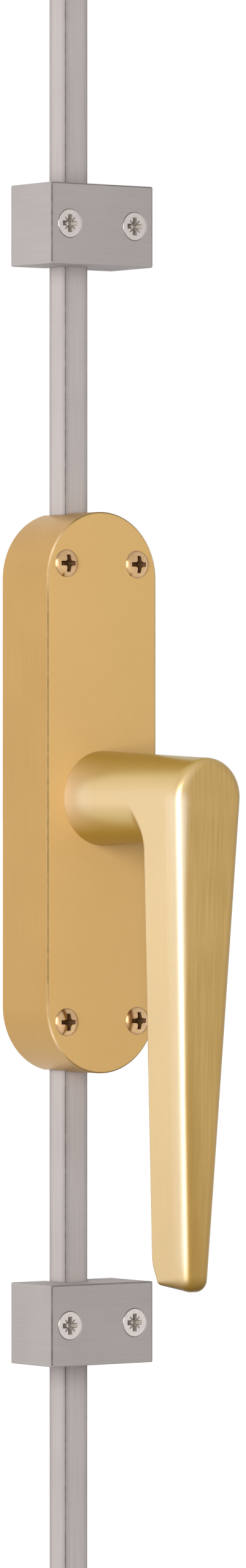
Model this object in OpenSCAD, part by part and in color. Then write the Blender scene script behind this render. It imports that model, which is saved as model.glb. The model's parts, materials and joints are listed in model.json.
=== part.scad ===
// Cremone bolt: a lever on a surface case drives two sliding rods through a pinion and two racks.
// Millimetres. The door's face is the plane y = 0 and the bolt's front faces -Y, with +Z up.
// The origin is the middle of the case's back. Depths are distances from the door towards the front.

/* [Case] */
// Width of the case
case_w = 38.5; // [37:0.5:46]
// Height of the case from end to end
case_h = 162; // [158:1:200]
// Depth of the case from the door to its front
case_d = 22.4; // [21:0.2:30]
// Thickness of the case's side wall
case_wall = 2.5; // [1.8:0.1:2.8]
// Thickness of the case's front wall
case_front = 3; // [2.6:0.1:4]
// Chamfer along the case's front edge
case_chamfer = 0.5; // [0.2:0.1:1.2]
// Thickness of the back plate
back_plate_t = 1.2; // [1.2:0.1:1.8]
// Distance of the lever's axis below the middle of the case
axis_drop = 1.6; // [0:0.1:4]

/* [Case fasteners] */
// Distance from a case screw to the straight edge of the case
case_screw_edge = 6.75; // [6:0.25:8]
// Distance from a case screw to the end of the case
case_screw_end = 15; // [13:0.5:17]
// Radius of the post round a case screw
case_post_r = 4.2; // [3.6:0.1:4.4]
// Radius of a case screw's head
case_head_r = 4; // [3.5:0.1:4.5]
// Height of the dome on a case screw's head
case_dome_h = 1.4; // [0.8:0.1:2]
// Radius of the boss that takes a back plate screw
back_boss_r = 3.4; // [2.8:0.1:3.8]
// Radius of a back plate screw
back_screw_r = 1.25; // [1:0.05:1.5]
// Radius of a back plate screw's head
back_head_r = 2.3; // [2.1:0.05:2.4]
// Length of a back plate screw
back_screw_l = 9; // [6:0.5:12]

/* [Door screws] */
// Radius of the plain shank
shank_r = 2.1; // [1.9:0.05:2.3]
// Radius of the threaded length that goes into the door
thread_r = 1.7; // [1.5:0.05:1.75]
// Length of thread in the door
thread_l = 8; // [6:0.5:25]
// Length of the point at the end of the thread
point_l = 3; // [2:0.5:5]
// Width of a wing of the cross recess
recess_w = 1.1; // [0.8:0.05:1.4]
// Length of the cross recess from wing to wing
recess_l = 4.6; // [3.6:0.1:4.8]
// Depth of the cross recess
recess_h = 1.5; // [1:0.1:1.6]

/* [Rods] */
// Side of the square rod
rod_w = 8; // [7:0.5:9]
// Height of the upper rod's tip above the middle of the case
upper_reach = 242; // [215:1:400]
// Depth of the lower rod's tip below the middle of the case
lower_reach = 240; // [205:1:400]
// Bevel at a rod's tip
tip_bevel = 1.5; // [0.5:0.1:2.5]

/* [Guides] */
// Width of a guide block
guide_w = 36; // [33:0.5:44]
// Height of a guide block
guide_h = 23.5; // [16:0.5:40]
// Depth of a guide block
guide_d = 20.4; // [16:0.2:26]
// Height of the upper guide's middle above the middle of the case
upper_guide_z = 164; // [150:0.5:180]
// Depth of the lower guide's middle below the middle of the case
lower_guide_z = 153.5; // [145:0.5:170]
// Distance between a guide's screws
guide_screw_pitch = 23; // [22:0.5:24]
// Radius of a guide screw's head
guide_head_r = 4.2; // [3.6:0.1:4.6]
// Distance of a guide block's middle to the right of its rod
guide_shift = 1.6; // [-2.5:0.1:2.5]

/* [Lever] */
// Radius of the hub where it meets the case
hub_r = 13.6; // [12.5:0.1:16]
// Radius of the round top of the blade
blade_top_r = 11.5; // [10:0.1:12.4]
// Distance from the case's front to the blade's front, at the axis
lever_reach = 52.5; // [44:0.5:65]
// Depth of the blade from front to back
blade_t = 16.7; // [13:0.1:20]
// Length of the blade from the axis to its tip
blade_l = 140.8; // [100:0.1:180]
// Width of the blade at its tip
blade_tip_w = 8.5; // [8:0.1:14]
// Lean of the blade towards the door, in degrees
blade_lean = 2.5; // [0:0.1:4]
// Radius of the blade's front edges
blade_edge_r = 2.8; // [1.8:0.1:3.1]
// Radius of the blade's back edges
blade_back_r = 1.2; // [0.8:0.1:2]
// Rise of the blade's end from its front to its back
tip_rise = 1.5; // [0:0.5:6]
// Radius of the blade's lower corners, seen from the front
tip_corner_r = 3.9; // [3.2:0.1:4]
// Height of the slope cut from the back of the blade's end
tip_clip_h = 6; // [2:0.5:10]
// Depth of the slope cut from the back of the blade's end
tip_clip_d = 2.7; // [1:0.1:5]
// Radius of the hollow between the hub and the blade's back
hub_fillet = 6; // [3:0.5:8]
// Degrees that the lever turns
lever_turn = 90; // [80:1:95]

/* [Mechanism] */
// Module of the pinion's and racks' teeth
gear_module = 1; // [0.95:0.01:1.05]
// Teeth on the pinion
pinion_teeth = 22; // [20:2:22]
// Pressure angle of the teeth, in degrees
pressure_angle = 20; // [18:1:22]
// Side of the square spindle
spindle_w = 8; // [7:0.25:8.5]
// Length of spindle inside the lever, from the case's front
spindle_in = 18; // [14:0.5:24]
// Radius of the lever's spigot
spigot_r = 8; // [7.6:0.1:8.4]
// Radius of the front bush in the case's wall
bush_r = 9.6; // [9.2:0.1:10.2]
// Radius of the front bush's flange
bush_flange_r = 11.8; // [11.2:0.1:12.5]
// Thickness of the front bush's flange
bush_flange_t = 1; // [0.8:0.1:1.4]
// Radius of the pinion's rear stub
stub_r = 5; // [4:0.1:5.5]
// Radius of the rear bush in the back plate
rear_bush_r = 6.5; // [6.2:0.1:7]
// Radius of the rear bush's flange
rear_flange_r = 8; // [7.4:0.1:9]
// Thickness of the rear bush's flange
rear_flange_t = 0.3; // [0.2:0.05:0.35]
// Thickness of the retaining ring
ring_t = 1; // [0.8:0.1:1.2]
// Depth of the retaining ring's groove
ring_groove = 0.6; // [0.4:0.05:0.8]
// Radius of the retaining ring's outside
ring_r = 9.8; // [9.2:0.1:11]
// Opening of the retaining ring
ring_mouth = 5; // [3:0.5:8]
// Height of the wave washer
wave_t = 0.8; // [0.5:0.1:1.2]
// Radius of the wave washer's outside
wave_r = 11; // [10:0.1:12]
// Thickness of the washer between the hub and the case
hub_washer_t = 0.3; // [0.2:0.05:0.5]
// Radius of that washer's outside
hub_washer_r = 12.2; // [11:0.1:12.4]
// Length of a rack's foot along its rod
foot_l = 16; // [15:0.5:17]
// Thickness of a rack's foot
foot_t = 3; // [2.6:0.1:4]
// Distance between the screws of a rack's foot
foot_screw_pitch = 8; // [7.6:0.1:8]
// Radius of a rack screw
foot_screw_r = 1.75; // [1.5:0.05:2]
// Radius of a rack screw's head
foot_head_r = 3.4; // [3:0.1:3.6]
// Length of a rack screw
foot_screw_l = 8.5; // [7:0.5:9.5]
// Teeth that a rack has past the middle of the mesh at each limit
lead_teeth = 2; // [2:1:3]
// Thickness of the stop that ends the rods' way in
stop_t = 3; // [2:0.5:4]
// Radius of the grub screw
grub_r = 2.5; // [2:0.25:3]
// Length of the grub screw
grub_l = 6; // [4:0.5:7]
// Distance of the grub screw from the case's front
grub_d = 8; // [6:0.5:10]
// Width across the grub screw's hexagon socket
grub_key = 2.5; // [2:0.25:3]
// Depth of the grub screw's socket
grub_key_l = 2.5; // [1.5:0.25:3.5]

/* [Clearances] */
// Gap between a sliding piece and what it slides past
slide_gap = 0.5; // [0.35:0.05:0.7]
// Gap between a rod and the channel of its guide
guide_gap = 0.3; // [0.3:0.05:0.6]
// Radial running gap of a journal in its bush
run_gap = 0.05; // [0.02:0.01:0.1]
// Gap between faces that turn on each other
thrust_gap = 0.05; // [0.05:0.01:0.15]
// Gap round a seated piece in the same body
seat_gap = 0.05; // [0.02:0.01:0.1]
// Gap that is left when a moving piece reaches its stop
stop_gap = 0.35; // [0.3:0.05:0.6]
// Gap round a screw's shank in its hole
screw_gap = 0.2; // [0.1:0.05:0.4]
// Gap between a rod's inner end and the pinion's teeth with the rod drawn in
rod_end_gap = 1.7; // [1:0.1:2.5]
// Gap between the flat sides of the pinion's teeth and the planes of the racks
gear_side_gap = 0.3; // [0.3:0.05:0.6]
// Thinning of each tooth at the pitch line
gear_backlash = 0.2; // [0.15:0.01:0.3]
// Gap between a tooth's tip and the root that it runs in
root_gap = 0.3; // [0.2:0.05:0.35]

/* [Hidden] */
$fn = 64;
// Facets of the round pieces that a hull blends together
hull_fn = 32;
// How far a cutting shape runs past the face that it cuts
cut = 1;

satin_brass = [0.80, 0.64, 0.38];
bright_brass = [0.78, 0.58, 0.36];
brushed_nickel = [0.70, 0.67, 0.66];
steel = [0.62, 0.63, 0.65];
bronze = [0.66, 0.48, 0.28];
nylon = [0.92, 0.91, 0.87];

case_in_w = case_w - 2 * case_wall;
case_in_h = case_h - 2 * case_wall;
front_in = case_d - case_front;
axis_z = -axis_drop;
case_screw_x = case_w / 2 - case_screw_edge;
case_screw_z = case_h / 2 - case_screw_end;

rod_back = back_plate_t + slide_gap;
rod_front = rod_back + rod_w;

// Teeth: a pinion of involute flanks and two straight-sided racks
pitch_r = gear_module * pinion_teeth / 2;
tooth_pitch = PI * gear_module;
addendum = gear_module;
dedendum = addendum + root_gap;
tip_r = pitch_r + addendum;
root_r = pitch_r - dedendum;
base_r = pitch_r * cos(pressure_angle);
tooth_w = tooth_pitch / 2 - gear_backlash;
flank_steps = 5;

// Travel along the rods, counted from the lever's axis
travel = pitch_r * lever_turn * PI / 180;
rod_in = travel + tip_r + rod_end_gap;
rack_out = rod_in + foot_l;
rack_in = lead_teeth * tooth_pitch;
rack_teeth = ceil(travel / tooth_pitch) + 2 * lead_teeth - 1;
rack_back_x = case_in_w / 2 - slide_gap;
back_boss_z = rack_out + stop_gap + back_boss_r;
foot_screw_in = (foot_l - foot_screw_pitch) / 2;

// Stack along the lever's axis, as depths
hub_base = case_d + hub_washer_t + 2 * thrust_gap;
bush_flange_in = front_in - bush_flange_t;
wave_in = bush_flange_in - thrust_gap - wave_t;
ring_in = wave_in - thrust_gap - ring_t;
spigot_end = ring_in - ring_t;
gear_back = rod_back + gear_side_gap;
gear_front = rod_front - gear_side_gap;
sleeve_end = spigot_end - seat_gap;
spindle_back = gear_back + back_plate_t / 2;
spindle_front = case_d + spindle_in;

// Lever: the hub narrows evenly from the case to the blade's front
blade_front = case_d + lever_reach;
blade_back = blade_front - blade_t;
blade_slope = atan((blade_top_r - blade_tip_w / 2) / blade_l);
function hub_r_at(depth) = hub_r + (blade_top_r - hub_r) * (depth - hub_base) / (blade_front - hub_base);

// A flat shape, drawn in X and Z, made solid between two depths
module between(depth_in, depth_out) {
    translate([0, -depth_in, 0])
        rotate([90, 0, 0])
            linear_extrude(depth_out - depth_in)
                children();
}

// A shape drawn about Z, turned so that its +Z runs from the given depth towards the front
module facing_front(depth) {
    translate([0, -depth, 0])
        rotate([90, 0, 0])
            children();
}

// A shape drawn about Z, turned so that its +Z runs from the given depth into the door
module facing_door(depth) {
    translate([0, -depth, 0])
        rotate([-90, 0, 0])
            children();
}

// A shape drawn about Z, turned so that its -Z runs to the right
module facing_right() {
    rotate([0, -90, 0])
        children();
}

module at_axis() {
    translate([0, 0, axis_z])
        children();
}

// The lower half of the mechanism is the upper half turned about the lever's axis
module turned_to_lower() {
    rotate([0, 180, 0])
        children();
}

module at_case_screws() {
    for (x = [-case_screw_x, case_screw_x], z = [-case_screw_z, case_screw_z])
        translate([x, 0, z])
            children();
}

module at_back_bosses() {
    for (x = [-case_screw_x, case_screw_x], z = [-back_boss_z, back_boss_z])
        translate([x, 0, axis_z + z])
            children();
}

module at_guide_screws() {
    for (x = [-guide_screw_pitch / 2, guide_screw_pitch / 2])
        translate([guide_shift + x, 0, 0])
            children();
}

module at_foot_screws() {
    for (z = [foot_screw_in, foot_l - foot_screw_in])
        translate([0, 0, rod_in + z])
            children();
}

module stadium(w, h) {
    square([w, h - w], center = true);
    for (z = [-(h - w) / 2, (h - w) / 2])
        translate([0, z])
            circle(d = w);
}

// A stadium of the given depth with a chamfer round its front edge
module chamfered_stadium(w, h, d, chamfer) {
    between(0, d - chamfer)
        stadium(w, h);
    for (z = [-(h - w) / 2, (h - w) / 2])
        translate([0, 0, z])
            facing_front(d - chamfer)
                cylinder(r1 = w / 2, r2 = w / 2 - chamfer, h = chamfer);
    translate([0, 0, -(h - w) / 2])
        linear_extrude(h - w)
            polygon([
                [-w / 2, -(d - chamfer)], [-w / 2 + chamfer, -d],
                [w / 2 - chamfer, -d], [w / 2, -(d - chamfer)]
            ]);
}

module ring(outer_r, inner_r, h) {
    difference() {
        cylinder(r = outer_r, h = h);
        translate([0, 0, -cut])
            cylinder(r = inner_r, h = h + 2 * cut);
    }
}

// Cross recess cut downwards from z = 0
module cross_recess(top) {
    for (turn = [0, 90])
        rotate(turn)
            translate([-recess_l / 2, -recess_w / 2, -top - cut])
                cube([recess_l, recess_w, top + cut + recess_h]);
}

// Countersunk head with its rim at z = 0 and its cone below, towards +Z
module countersunk_head(head_r, neck_r) {
    cylinder(r1 = head_r, r2 = neck_r, h = head_r - neck_r);
}

// Hole for a countersunk screw whose rim lies at z = 0
module countersunk_hole(head_r, neck_r, depth) {
    translate([0, 0, -cut])
        cylinder(r = head_r + seat_gap, h = cut);
    cylinder(r1 = head_r + seat_gap, r2 = neck_r + seat_gap, h = head_r - neck_r);
    cylinder(r = neck_r + screw_gap, h = depth);
}

// Part of a ball that stands on a circle of the given radius, towards -Z
module dome(base_r, rise) {
    ball_r = (base_r * base_r + rise * rise) / (2 * rise);
    rotate([180, 0, 0])
        rotate_extrude()
            intersection() {
                translate([0, rise - ball_r])
                    circle(r = ball_r);
                square([base_r, rise]);
            }
}

// Wood screw along +Z: rim at z = 0, plain shank through the fitting, thread in the door
module door_screw(head_r, dome_h, fitting_d) {
    difference() {
        union() {
            if (dome_h > 0)
                dome(head_r, dome_h);
            countersunk_head(head_r, shank_r);
            cylinder(r = shank_r, h = fitting_d);
            cylinder(r = thread_r, h = fitting_d + thread_l - point_l);
            translate([0, 0, fitting_d + thread_l - point_l])
                cylinder(r1 = thread_r, r2 = 0, h = point_l);
        }
        cross_recess(dome_h);
    }
}

// Machine screw along +Z with a flush countersunk head and a cross recess
module machine_screw(head_r, screw_r, l) {
    slot_w = screw_r * 0.5;
    difference() {
        union() {
            countersunk_head(head_r, screw_r);
            cylinder(r = screw_r, h = l);
        }
        for (turn = [0, 90])
            rotate(turn)
                translate([-screw_r, -slot_w / 2, -cut])
                    cube([2 * screw_r, slot_w, cut + screw_r]);
    }
}

// Stop on the cover that the rack's foot meets when its rod is drawn in
module travel_stop() {
    top = tip_r + rod_end_gap - stop_gap;
    translate([-case_in_w / 2 - case_wall / 2, 0, top - stop_t])
        between(rod_front + slide_gap, front_in + cut)
            square([case_in_w / 2 + case_wall / 2 - spigot_r, stop_t]);
}

module case_cover() {
    color(satin_brass)
        difference() {
            union() {
                difference() {
                    chamfered_stadium(case_w, case_h, case_d, case_chamfer);
                    between(-cut, front_in)
                        stadium(case_in_w, case_in_h);
                }
                at_case_screws()
                    between(back_plate_t, front_in + cut)
                        circle(r = case_post_r);
                at_back_bosses()
                    between(back_plate_t, front_in + cut)
                        circle(r = back_boss_r);
                at_axis() {
                    travel_stop();
                    turned_to_lower()
                        travel_stop();
                }
            }
            rod_notch_w = rod_w + 2 * slide_gap;
            translate([-rod_notch_w / 2, -(rod_front + slide_gap), -case_h / 2 - cut])
                cube([rod_notch_w, rod_front + slide_gap + cut, case_h + 2 * cut]);
            at_case_screws()
                facing_door(case_d)
                    countersunk_hole(case_head_r, shank_r, case_d + cut);
            at_back_bosses()
                facing_front(back_plate_t - cut)
                    cylinder(r = back_screw_r + seat_gap, h = back_screw_l + cut);
            at_axis()
                facing_front(front_in - cut)
                    cylinder(r = bush_r + seat_gap, h = case_front + 2 * cut);
        }
}

module back_plate() {
    color(steel)
        difference() {
            between(0, back_plate_t)
                stadium(case_in_w - 2 * seat_gap, case_in_h - 2 * seat_gap);
            at_case_screws()
                facing_front(-cut)
                    cylinder(r = shank_r + screw_gap, h = back_plate_t + 2 * cut);
            at_back_bosses()
                facing_front(0)
                    countersunk_hole(back_head_r, back_screw_r, back_plate_t + cut);
            at_axis()
                facing_front(-cut)
                    cylinder(r = rear_bush_r + seat_gap, h = back_plate_t + 2 * cut);
        }
}

module back_plate_screws() {
    color(steel)
        at_back_bosses()
            facing_front(0)
                machine_screw(back_head_r, back_screw_r, back_screw_l);
}

module case_screws() {
    color(bright_brass)
        at_case_screws()
            facing_door(case_d)
                door_screw(case_head_r, case_dome_h, case_d);
}

module front_bush() {
    color(bronze)
        at_axis()
            difference() {
                union() {
                    facing_front(bush_flange_in)
                        cylinder(r = bush_flange_r, h = bush_flange_t);
                    facing_front(bush_flange_in)
                        cylinder(r = bush_r, h = case_d - bush_flange_in);
                }
                facing_front(bush_flange_in - cut)
                    cylinder(r = spigot_r + run_gap, h = case_d - bush_flange_in + 2 * cut);
            }
}

module rear_bush() {
    color(bronze)
        at_axis()
            difference() {
                union() {
                    facing_front(0)
                        cylinder(r = rear_bush_r, h = back_plate_t + rear_flange_t);
                    facing_front(back_plate_t)
                        cylinder(r = rear_flange_r, h = rear_flange_t);
                }
                facing_front(-cut)
                    cylinder(r = stub_r + run_gap, h = back_plate_t + rear_flange_t + 2 * cut);
            }
}

module hub_washer() {
    color(nylon)
        at_axis()
            facing_front(case_d + thrust_gap)
                ring(hub_washer_r, spigot_r + screw_gap, hub_washer_t);
}

module wave_washer() {
    color(steel)
        at_axis()
            facing_front(wave_in)
                ring(wave_r, spigot_r + screw_gap, wave_t);
}

module retaining_ring() {
    color(steel)
        at_axis()
            difference() {
                facing_front(ring_in)
                    ring(ring_r, spigot_r - ring_groove + seat_gap, ring_t);
                translate([0, 0, ring_r])
                    cube([ring_mouth, 2 * case_d, 2 * ring_r], center = true);
            }
}

// Round top of the blade: two rounded discs about Y, one at the blade's front and one at its back
module blade_top() {
    facing_front(-blade_t) {
        rounded_disc(hub_r_at(blade_back), blade_back_r);
        translate([0, 0, blade_t - 2 * blade_edge_r])
            rounded_disc(blade_top_r, blade_edge_r);
    }
}

// A disc as thick as its round edge
module rounded_disc(outer_r, edge_r) {
    rotate_extrude($fn = 2 * hull_fn)
        intersection() {
            square([outer_r, 2 * edge_r]);
            union() {
                square([outer_r - edge_r, 2 * edge_r]);
                translate([outer_r - edge_r, edge_r])
                    circle(r = edge_r, $fn = hull_fn);
            }
        }
}

// A pair of rounded discs at the front of the blade's end, one for each lower corner
module tip_discs() {
    for (x = [-1, 1])
        translate([x * (blade_tip_w / 2 - tip_corner_r), 0, tip_corner_r - blade_l])
            facing_front(-2 * blade_edge_r)
                rounded_disc(tip_corner_r, blade_edge_r);
}

// A pair of balls at the blade's end, one on each side
module tip_balls(r, y, z) {
    for (x = [-1, 1])
        translate([x * (blade_tip_w / 2 - r), y, z])
            sphere(r = r, $fn = hull_fn);
}

// The blade with its front at y = 0 and the lever's axis at z = 0
module blade() {
    clip_y = blade_t - tip_clip_d;
    back_z = tip_rise - blade_l + blade_back_r;
    hull() {
        blade_top();
        tip_discs();
        tip_balls(blade_back_r, clip_y - blade_back_r, back_z);
        tip_balls(blade_back_r, blade_t - blade_back_r, back_z + tip_clip_h);
    }
}

// Hollow flare between the hub and the blade's back, kept within the blade's own outline
module hub_flare() {
    flare_out = blade_back - (hub_r + hub_fillet) * sin(blade_lean) / 2;
    flare_in = flare_out - hub_fillet;
    neck_r = hub_r_at(flare_in) - seat_gap;
    outline_r = hub_r_at(blade_back) - blade_back_r;
    half_w = outline_r - (hub_r + hub_fillet) * tan(blade_slope);
    intersection() {
        facing_front(flare_in)
            rotate_extrude()
                difference() {
                    square([neck_r + hub_fillet, hub_fillet + blade_t / 4]);
                    translate([neck_r + hub_fillet, 0])
                        circle(r = hub_fillet);
                }
        between(flare_in, blade_back + blade_t / 2)
            union() {
                circle(r = outline_r);
                translate([-half_w, -neck_r - hub_fillet])
                    square([2 * half_w, neck_r + hub_fillet]);
            }
    }
}

module lever() {
    hub_end = blade_back + blade_t / 2;
    hub_inset = blade_back_r / 2;
    color(satin_brass)
        at_axis()
            difference() {
                union() {
                    facing_front(hub_base)
                        cylinder(r1 = hub_r, r2 = hub_r_at(hub_end) - hub_inset, h = hub_end - hub_base);
                    facing_front(spigot_end)
                        cylinder(r = spigot_r, h = hub_base - spigot_end + cut);
                    translate([0, -blade_front, 0])
                        rotate([blade_lean, 0, 0])
                            blade();
                    hub_flare();
                }
                between(spigot_end - cut, spindle_front + seat_gap)
                    square(spindle_w + 2 * seat_gap, center = true);
                facing_front(ring_in - seat_gap)
                    ring(spigot_r + cut, spigot_r - ring_groove, ring_t + 2 * seat_gap);
                facing_right()
                    translate([0, -(case_d + grub_d), -hub_r - cut])
                        cylinder(r = grub_r + seat_gap, h = hub_r + cut);
            }
}

module lever_grub_screw() {
    color(steel)
        at_axis()
            facing_right()
                translate([0, -(case_d + grub_d), -spindle_w / 2 - seat_gap - grub_l])
                    difference() {
                        cylinder(r = grub_r, h = grub_l);
                        translate([0, 0, -cut])
                            cylinder(d = grub_key / cos(30), h = grub_key_l + cut, $fn = 6);
                    }
}

module spindle() {
    color(steel)
        at_axis()
            between(spindle_back, spindle_front)
                square(spindle_w, center = true);
}

// Angle between the involute's start and its point at radius r, in degrees
function involute(r) = let (a = acos(min(1, base_r / r))) tan(a) * 180 / PI - a;

// Half of the angle that a tooth fills at radius r
function half_tooth(r) =
    tooth_w / (2 * pitch_r) * 180 / PI + involute(pitch_r) - involute(max(r, base_r));

function on_circle(r, a) = [r * cos(a), r * sin(a)];

// Radii up a flank, from the root to the tip
flank_radii = concat(
    [root_r],
    [for (i = [0 : flank_steps]) max(root_r, base_r) + i * (tip_r - max(root_r, base_r)) / flank_steps]
);

module pinion_teeth_outline() {
    last = len(flank_radii) - 1;
    polygon([
        for (tooth = [0 : pinion_teeth - 1])
            let (middle = tooth * 360 / pinion_teeth)
                each concat(
                    [for (i = [0 : last]) on_circle(flank_radii[i], middle - half_tooth(flank_radii[i]))],
                    [for (i = [last : -1 : 0]) on_circle(flank_radii[i], middle + half_tooth(flank_radii[i]))]
                )
    ]);
}

module pinion() {
    color(steel)
        at_axis()
            difference() {
                union() {
                    between(gear_back, gear_front)
                        pinion_teeth_outline();
                    facing_front(gear_back)
                        cylinder(r = spigot_r, h = sleeve_end - gear_back);
                    facing_front(seat_gap)
                        cylinder(r = stub_r, h = gear_back - seat_gap + cut / 2);
                }
                between(spindle_back - seat_gap, sleeve_end + cut)
                    square(spindle_w + 2 * seat_gap, center = true);
            }
}

// The rack left of the pinion, with a gap between teeth level with the axis
module rack_outline() {
    root_x = pitch_r + dedendum;
    half_root = tooth_w / 2 + dedendum * tan(pressure_angle);
    half_tip = tooth_w / 2 - addendum * tan(pressure_angle);
    translate([-rack_back_x, -rack_in])
        square([rack_back_x - root_x, rack_in + rack_out]);
    for (i = [0 : rack_teeth - 1])
        translate([0, (i + 0.5 - lead_teeth) * tooth_pitch])
            polygon([
                [-root_x - dedendum, -half_root], [-root_x, -half_root],
                [-pitch_r + addendum, -half_tip], [-pitch_r + addendum, half_tip],
                [-root_x, half_root], [-root_x - dedendum, half_root]
            ]);
}

module rack() {
    color(steel)
        difference() {
            union() {
                between(rod_back, rod_front)
                    rack_outline();
                translate([-rack_back_x, 0, rod_in])
                    between(rod_front, rod_front + foot_t)
                        square([rack_back_x + rod_w / 2, foot_l]);
            }
            at_foot_screws()
                facing_door(rod_front + foot_t)
                    countersunk_hole(foot_head_r, foot_screw_r, foot_t + cut);
        }
}

module rack_screws() {
    color(steel)
        at_foot_screws()
            facing_door(rod_front + foot_t)
                machine_screw(foot_head_r, foot_screw_r, foot_screw_l);
}

// A rod above the axis, from its inner end to a bevelled tip
module rod(reach) {
    half = rod_w / 2;
    flat_half = half - tip_bevel;
    bar = [
        [-half, rod_in], [half, rod_in], [half, reach - tip_bevel],
        [flat_half, reach], [-flat_half, reach], [-half, reach - tip_bevel]
    ];
    color(brushed_nickel)
        difference() {
            intersection() {
                between(rod_back, rod_front)
                    polygon(bar);
                translate([-half, -(rod_back + half), 0])
                    rotate([90, 0, 90])
                        linear_extrude(rod_w)
                            polygon(bar);
            }
            at_foot_screws()
                facing_door(rod_front + cut)
                    cylinder(r = foot_screw_r + seat_gap, h = foot_screw_l - foot_t + cut + seat_gap);
        }
}

module guide() {
    channel_w = rod_w + 2 * guide_gap;
    channel_d = rod_front + guide_gap;
    color(brushed_nickel)
        difference() {
            translate([guide_shift, 0, 0])
                between(0, guide_d)
                    square([guide_w, guide_h], center = true);
            translate([-channel_w / 2, -channel_d, -guide_h / 2 - cut])
                cube([channel_w, channel_d + cut, guide_h + 2 * cut]);
            at_guide_screws()
                facing_door(guide_d)
                    countersunk_hole(guide_head_r, shank_r, guide_d + cut);
        }
}

module guide_screws() {
    color(brushed_nickel)
        at_guide_screws()
            facing_door(guide_d)
                door_screw(guide_head_r, 0, guide_d);
}

module upper_rack() { at_axis() rack(); }
module lower_rack() { at_axis() turned_to_lower() rack(); }
module upper_rack_screws() { at_axis() rack_screws(); }
module lower_rack_screws() { at_axis() turned_to_lower() rack_screws(); }
module upper_rod() { at_axis() rod(upper_reach - axis_z); }
module lower_rod() { at_axis() turned_to_lower() rod(lower_reach + axis_z); }
module upper_guide() { translate([0, 0, upper_guide_z]) guide(); }
module lower_guide() { translate([0, 0, -lower_guide_z]) guide(); }
module upper_guide_screws() { translate([0, 0, upper_guide_z]) guide_screws(); }
module lower_guide_screws() { translate([0, 0, -lower_guide_z]) guide_screws(); }

case_cover();
back_plate();
back_plate_screws();
case_screws();
front_bush();
rear_bush();
hub_washer();
wave_washer();
retaining_ring();
lever();
lever_grub_screw();
spindle();
pinion();
upper_rack();
lower_rack();
upper_rack_screws();
lower_rack_screws();
upper_rod();
lower_rod();
upper_guide();
lower_guide();
upper_guide_screws();
lower_guide_screws();
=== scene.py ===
"""Cremone bolt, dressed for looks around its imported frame.

The case, lever, rods, guides and door screws are modelled again with softer edges and finer detail. The
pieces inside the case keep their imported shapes. Sizes are millimetres in the part's own frame: the door's
face is y = 0, the bolt faces -Y and +Z is up.
"""

import json
import logging
import math
from collections.abc import Callable, Iterator, Sequence
from contextlib import contextmanager
from dataclasses import dataclass
from enum import Enum
from functools import cache
from typing import Any

import bmesh
import bpy
import numpy as np
from mathutils import Matrix, Vector

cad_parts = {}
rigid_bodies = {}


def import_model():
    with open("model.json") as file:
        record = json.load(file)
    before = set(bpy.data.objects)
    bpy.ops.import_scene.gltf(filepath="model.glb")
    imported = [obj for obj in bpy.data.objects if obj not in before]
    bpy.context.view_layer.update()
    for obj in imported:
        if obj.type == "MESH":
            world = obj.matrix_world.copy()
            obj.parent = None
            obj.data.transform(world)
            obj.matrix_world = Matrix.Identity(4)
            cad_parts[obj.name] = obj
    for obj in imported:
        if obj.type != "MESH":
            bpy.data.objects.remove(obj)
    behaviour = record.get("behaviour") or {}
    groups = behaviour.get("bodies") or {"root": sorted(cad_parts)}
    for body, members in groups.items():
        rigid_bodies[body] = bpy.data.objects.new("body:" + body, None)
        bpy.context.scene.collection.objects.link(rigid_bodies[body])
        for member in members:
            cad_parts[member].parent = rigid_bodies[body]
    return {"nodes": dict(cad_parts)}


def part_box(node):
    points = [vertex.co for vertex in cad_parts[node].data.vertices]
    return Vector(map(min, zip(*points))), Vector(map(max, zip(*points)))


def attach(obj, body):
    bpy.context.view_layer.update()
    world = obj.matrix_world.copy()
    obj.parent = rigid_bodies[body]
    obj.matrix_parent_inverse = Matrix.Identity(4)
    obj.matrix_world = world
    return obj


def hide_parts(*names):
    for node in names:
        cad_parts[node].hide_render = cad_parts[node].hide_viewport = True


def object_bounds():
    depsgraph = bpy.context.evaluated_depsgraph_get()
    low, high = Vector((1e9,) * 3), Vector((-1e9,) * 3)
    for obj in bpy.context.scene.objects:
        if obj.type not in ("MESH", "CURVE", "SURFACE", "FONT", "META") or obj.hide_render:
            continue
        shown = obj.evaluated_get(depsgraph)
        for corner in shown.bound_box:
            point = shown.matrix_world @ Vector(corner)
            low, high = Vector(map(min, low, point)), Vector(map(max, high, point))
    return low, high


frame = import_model()
CAD_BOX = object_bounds()

Obj = bpy.types.Object
Socket = bpy.types.NodeSocket
Face = bpy.types.MeshPolygon
Pair = tuple[float, float]
Triple = tuple[float, float, float]
Profile = Sequence[Pair]

MM = 0.001
LOG = logging.getLogger("cremone_bolt")
# How far a cutting shape reaches past what it cuts, and what counts as the same place.
PAST = 2.0
CLOSE = 0.001
# Part of a normal along an axis above which a face counts as square to it.
SQUARE = 0.9
# Facets round holes and bars, from plain ones to those in view.
COARSE = 32
PLAIN = 48
MIDDLE = 64
FINE = 96
WHITE = (1.0, 1.0, 1.0, 1.0)


class Pick(Enum):
    """What a selection in edit mode is made of."""

    VERTS = "VERT"
    EDGES = "EDGE"
    FACES = "FACE"


class Combine(Enum):
    """How a second shape changes the first."""

    CUT = "DIFFERENCE"
    JOIN = "UNION"


class Recess(Enum):
    """Drive cut into a screw's head."""

    CROSS = "cross"
    TICKED_CROSS = "ticked cross"


class Grain(Enum):
    """Way that a finish's fine lines run, as the stretch of its noise along X, Y and Z."""

    ALONG_ROD = (1.0, 1.0, 0.012)
    ALONG_BLADE = (1.0, 1.0, 0.016)
    ACROSS_BLOCK = (1.0, 0.05, 0.05)
    LEVEL = (0.03, 0.03, 1.0)
    NONE = (1.0, 1.0, 1.0)


def ramp(values: np.ndarray, start: float, full: float | np.ndarray) -> np.ndarray:
    """Rises from 0 at the start value to 1 at the full value, and stays between the two."""
    return np.clip((values - start) / (full - start), 0, 1)


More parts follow.
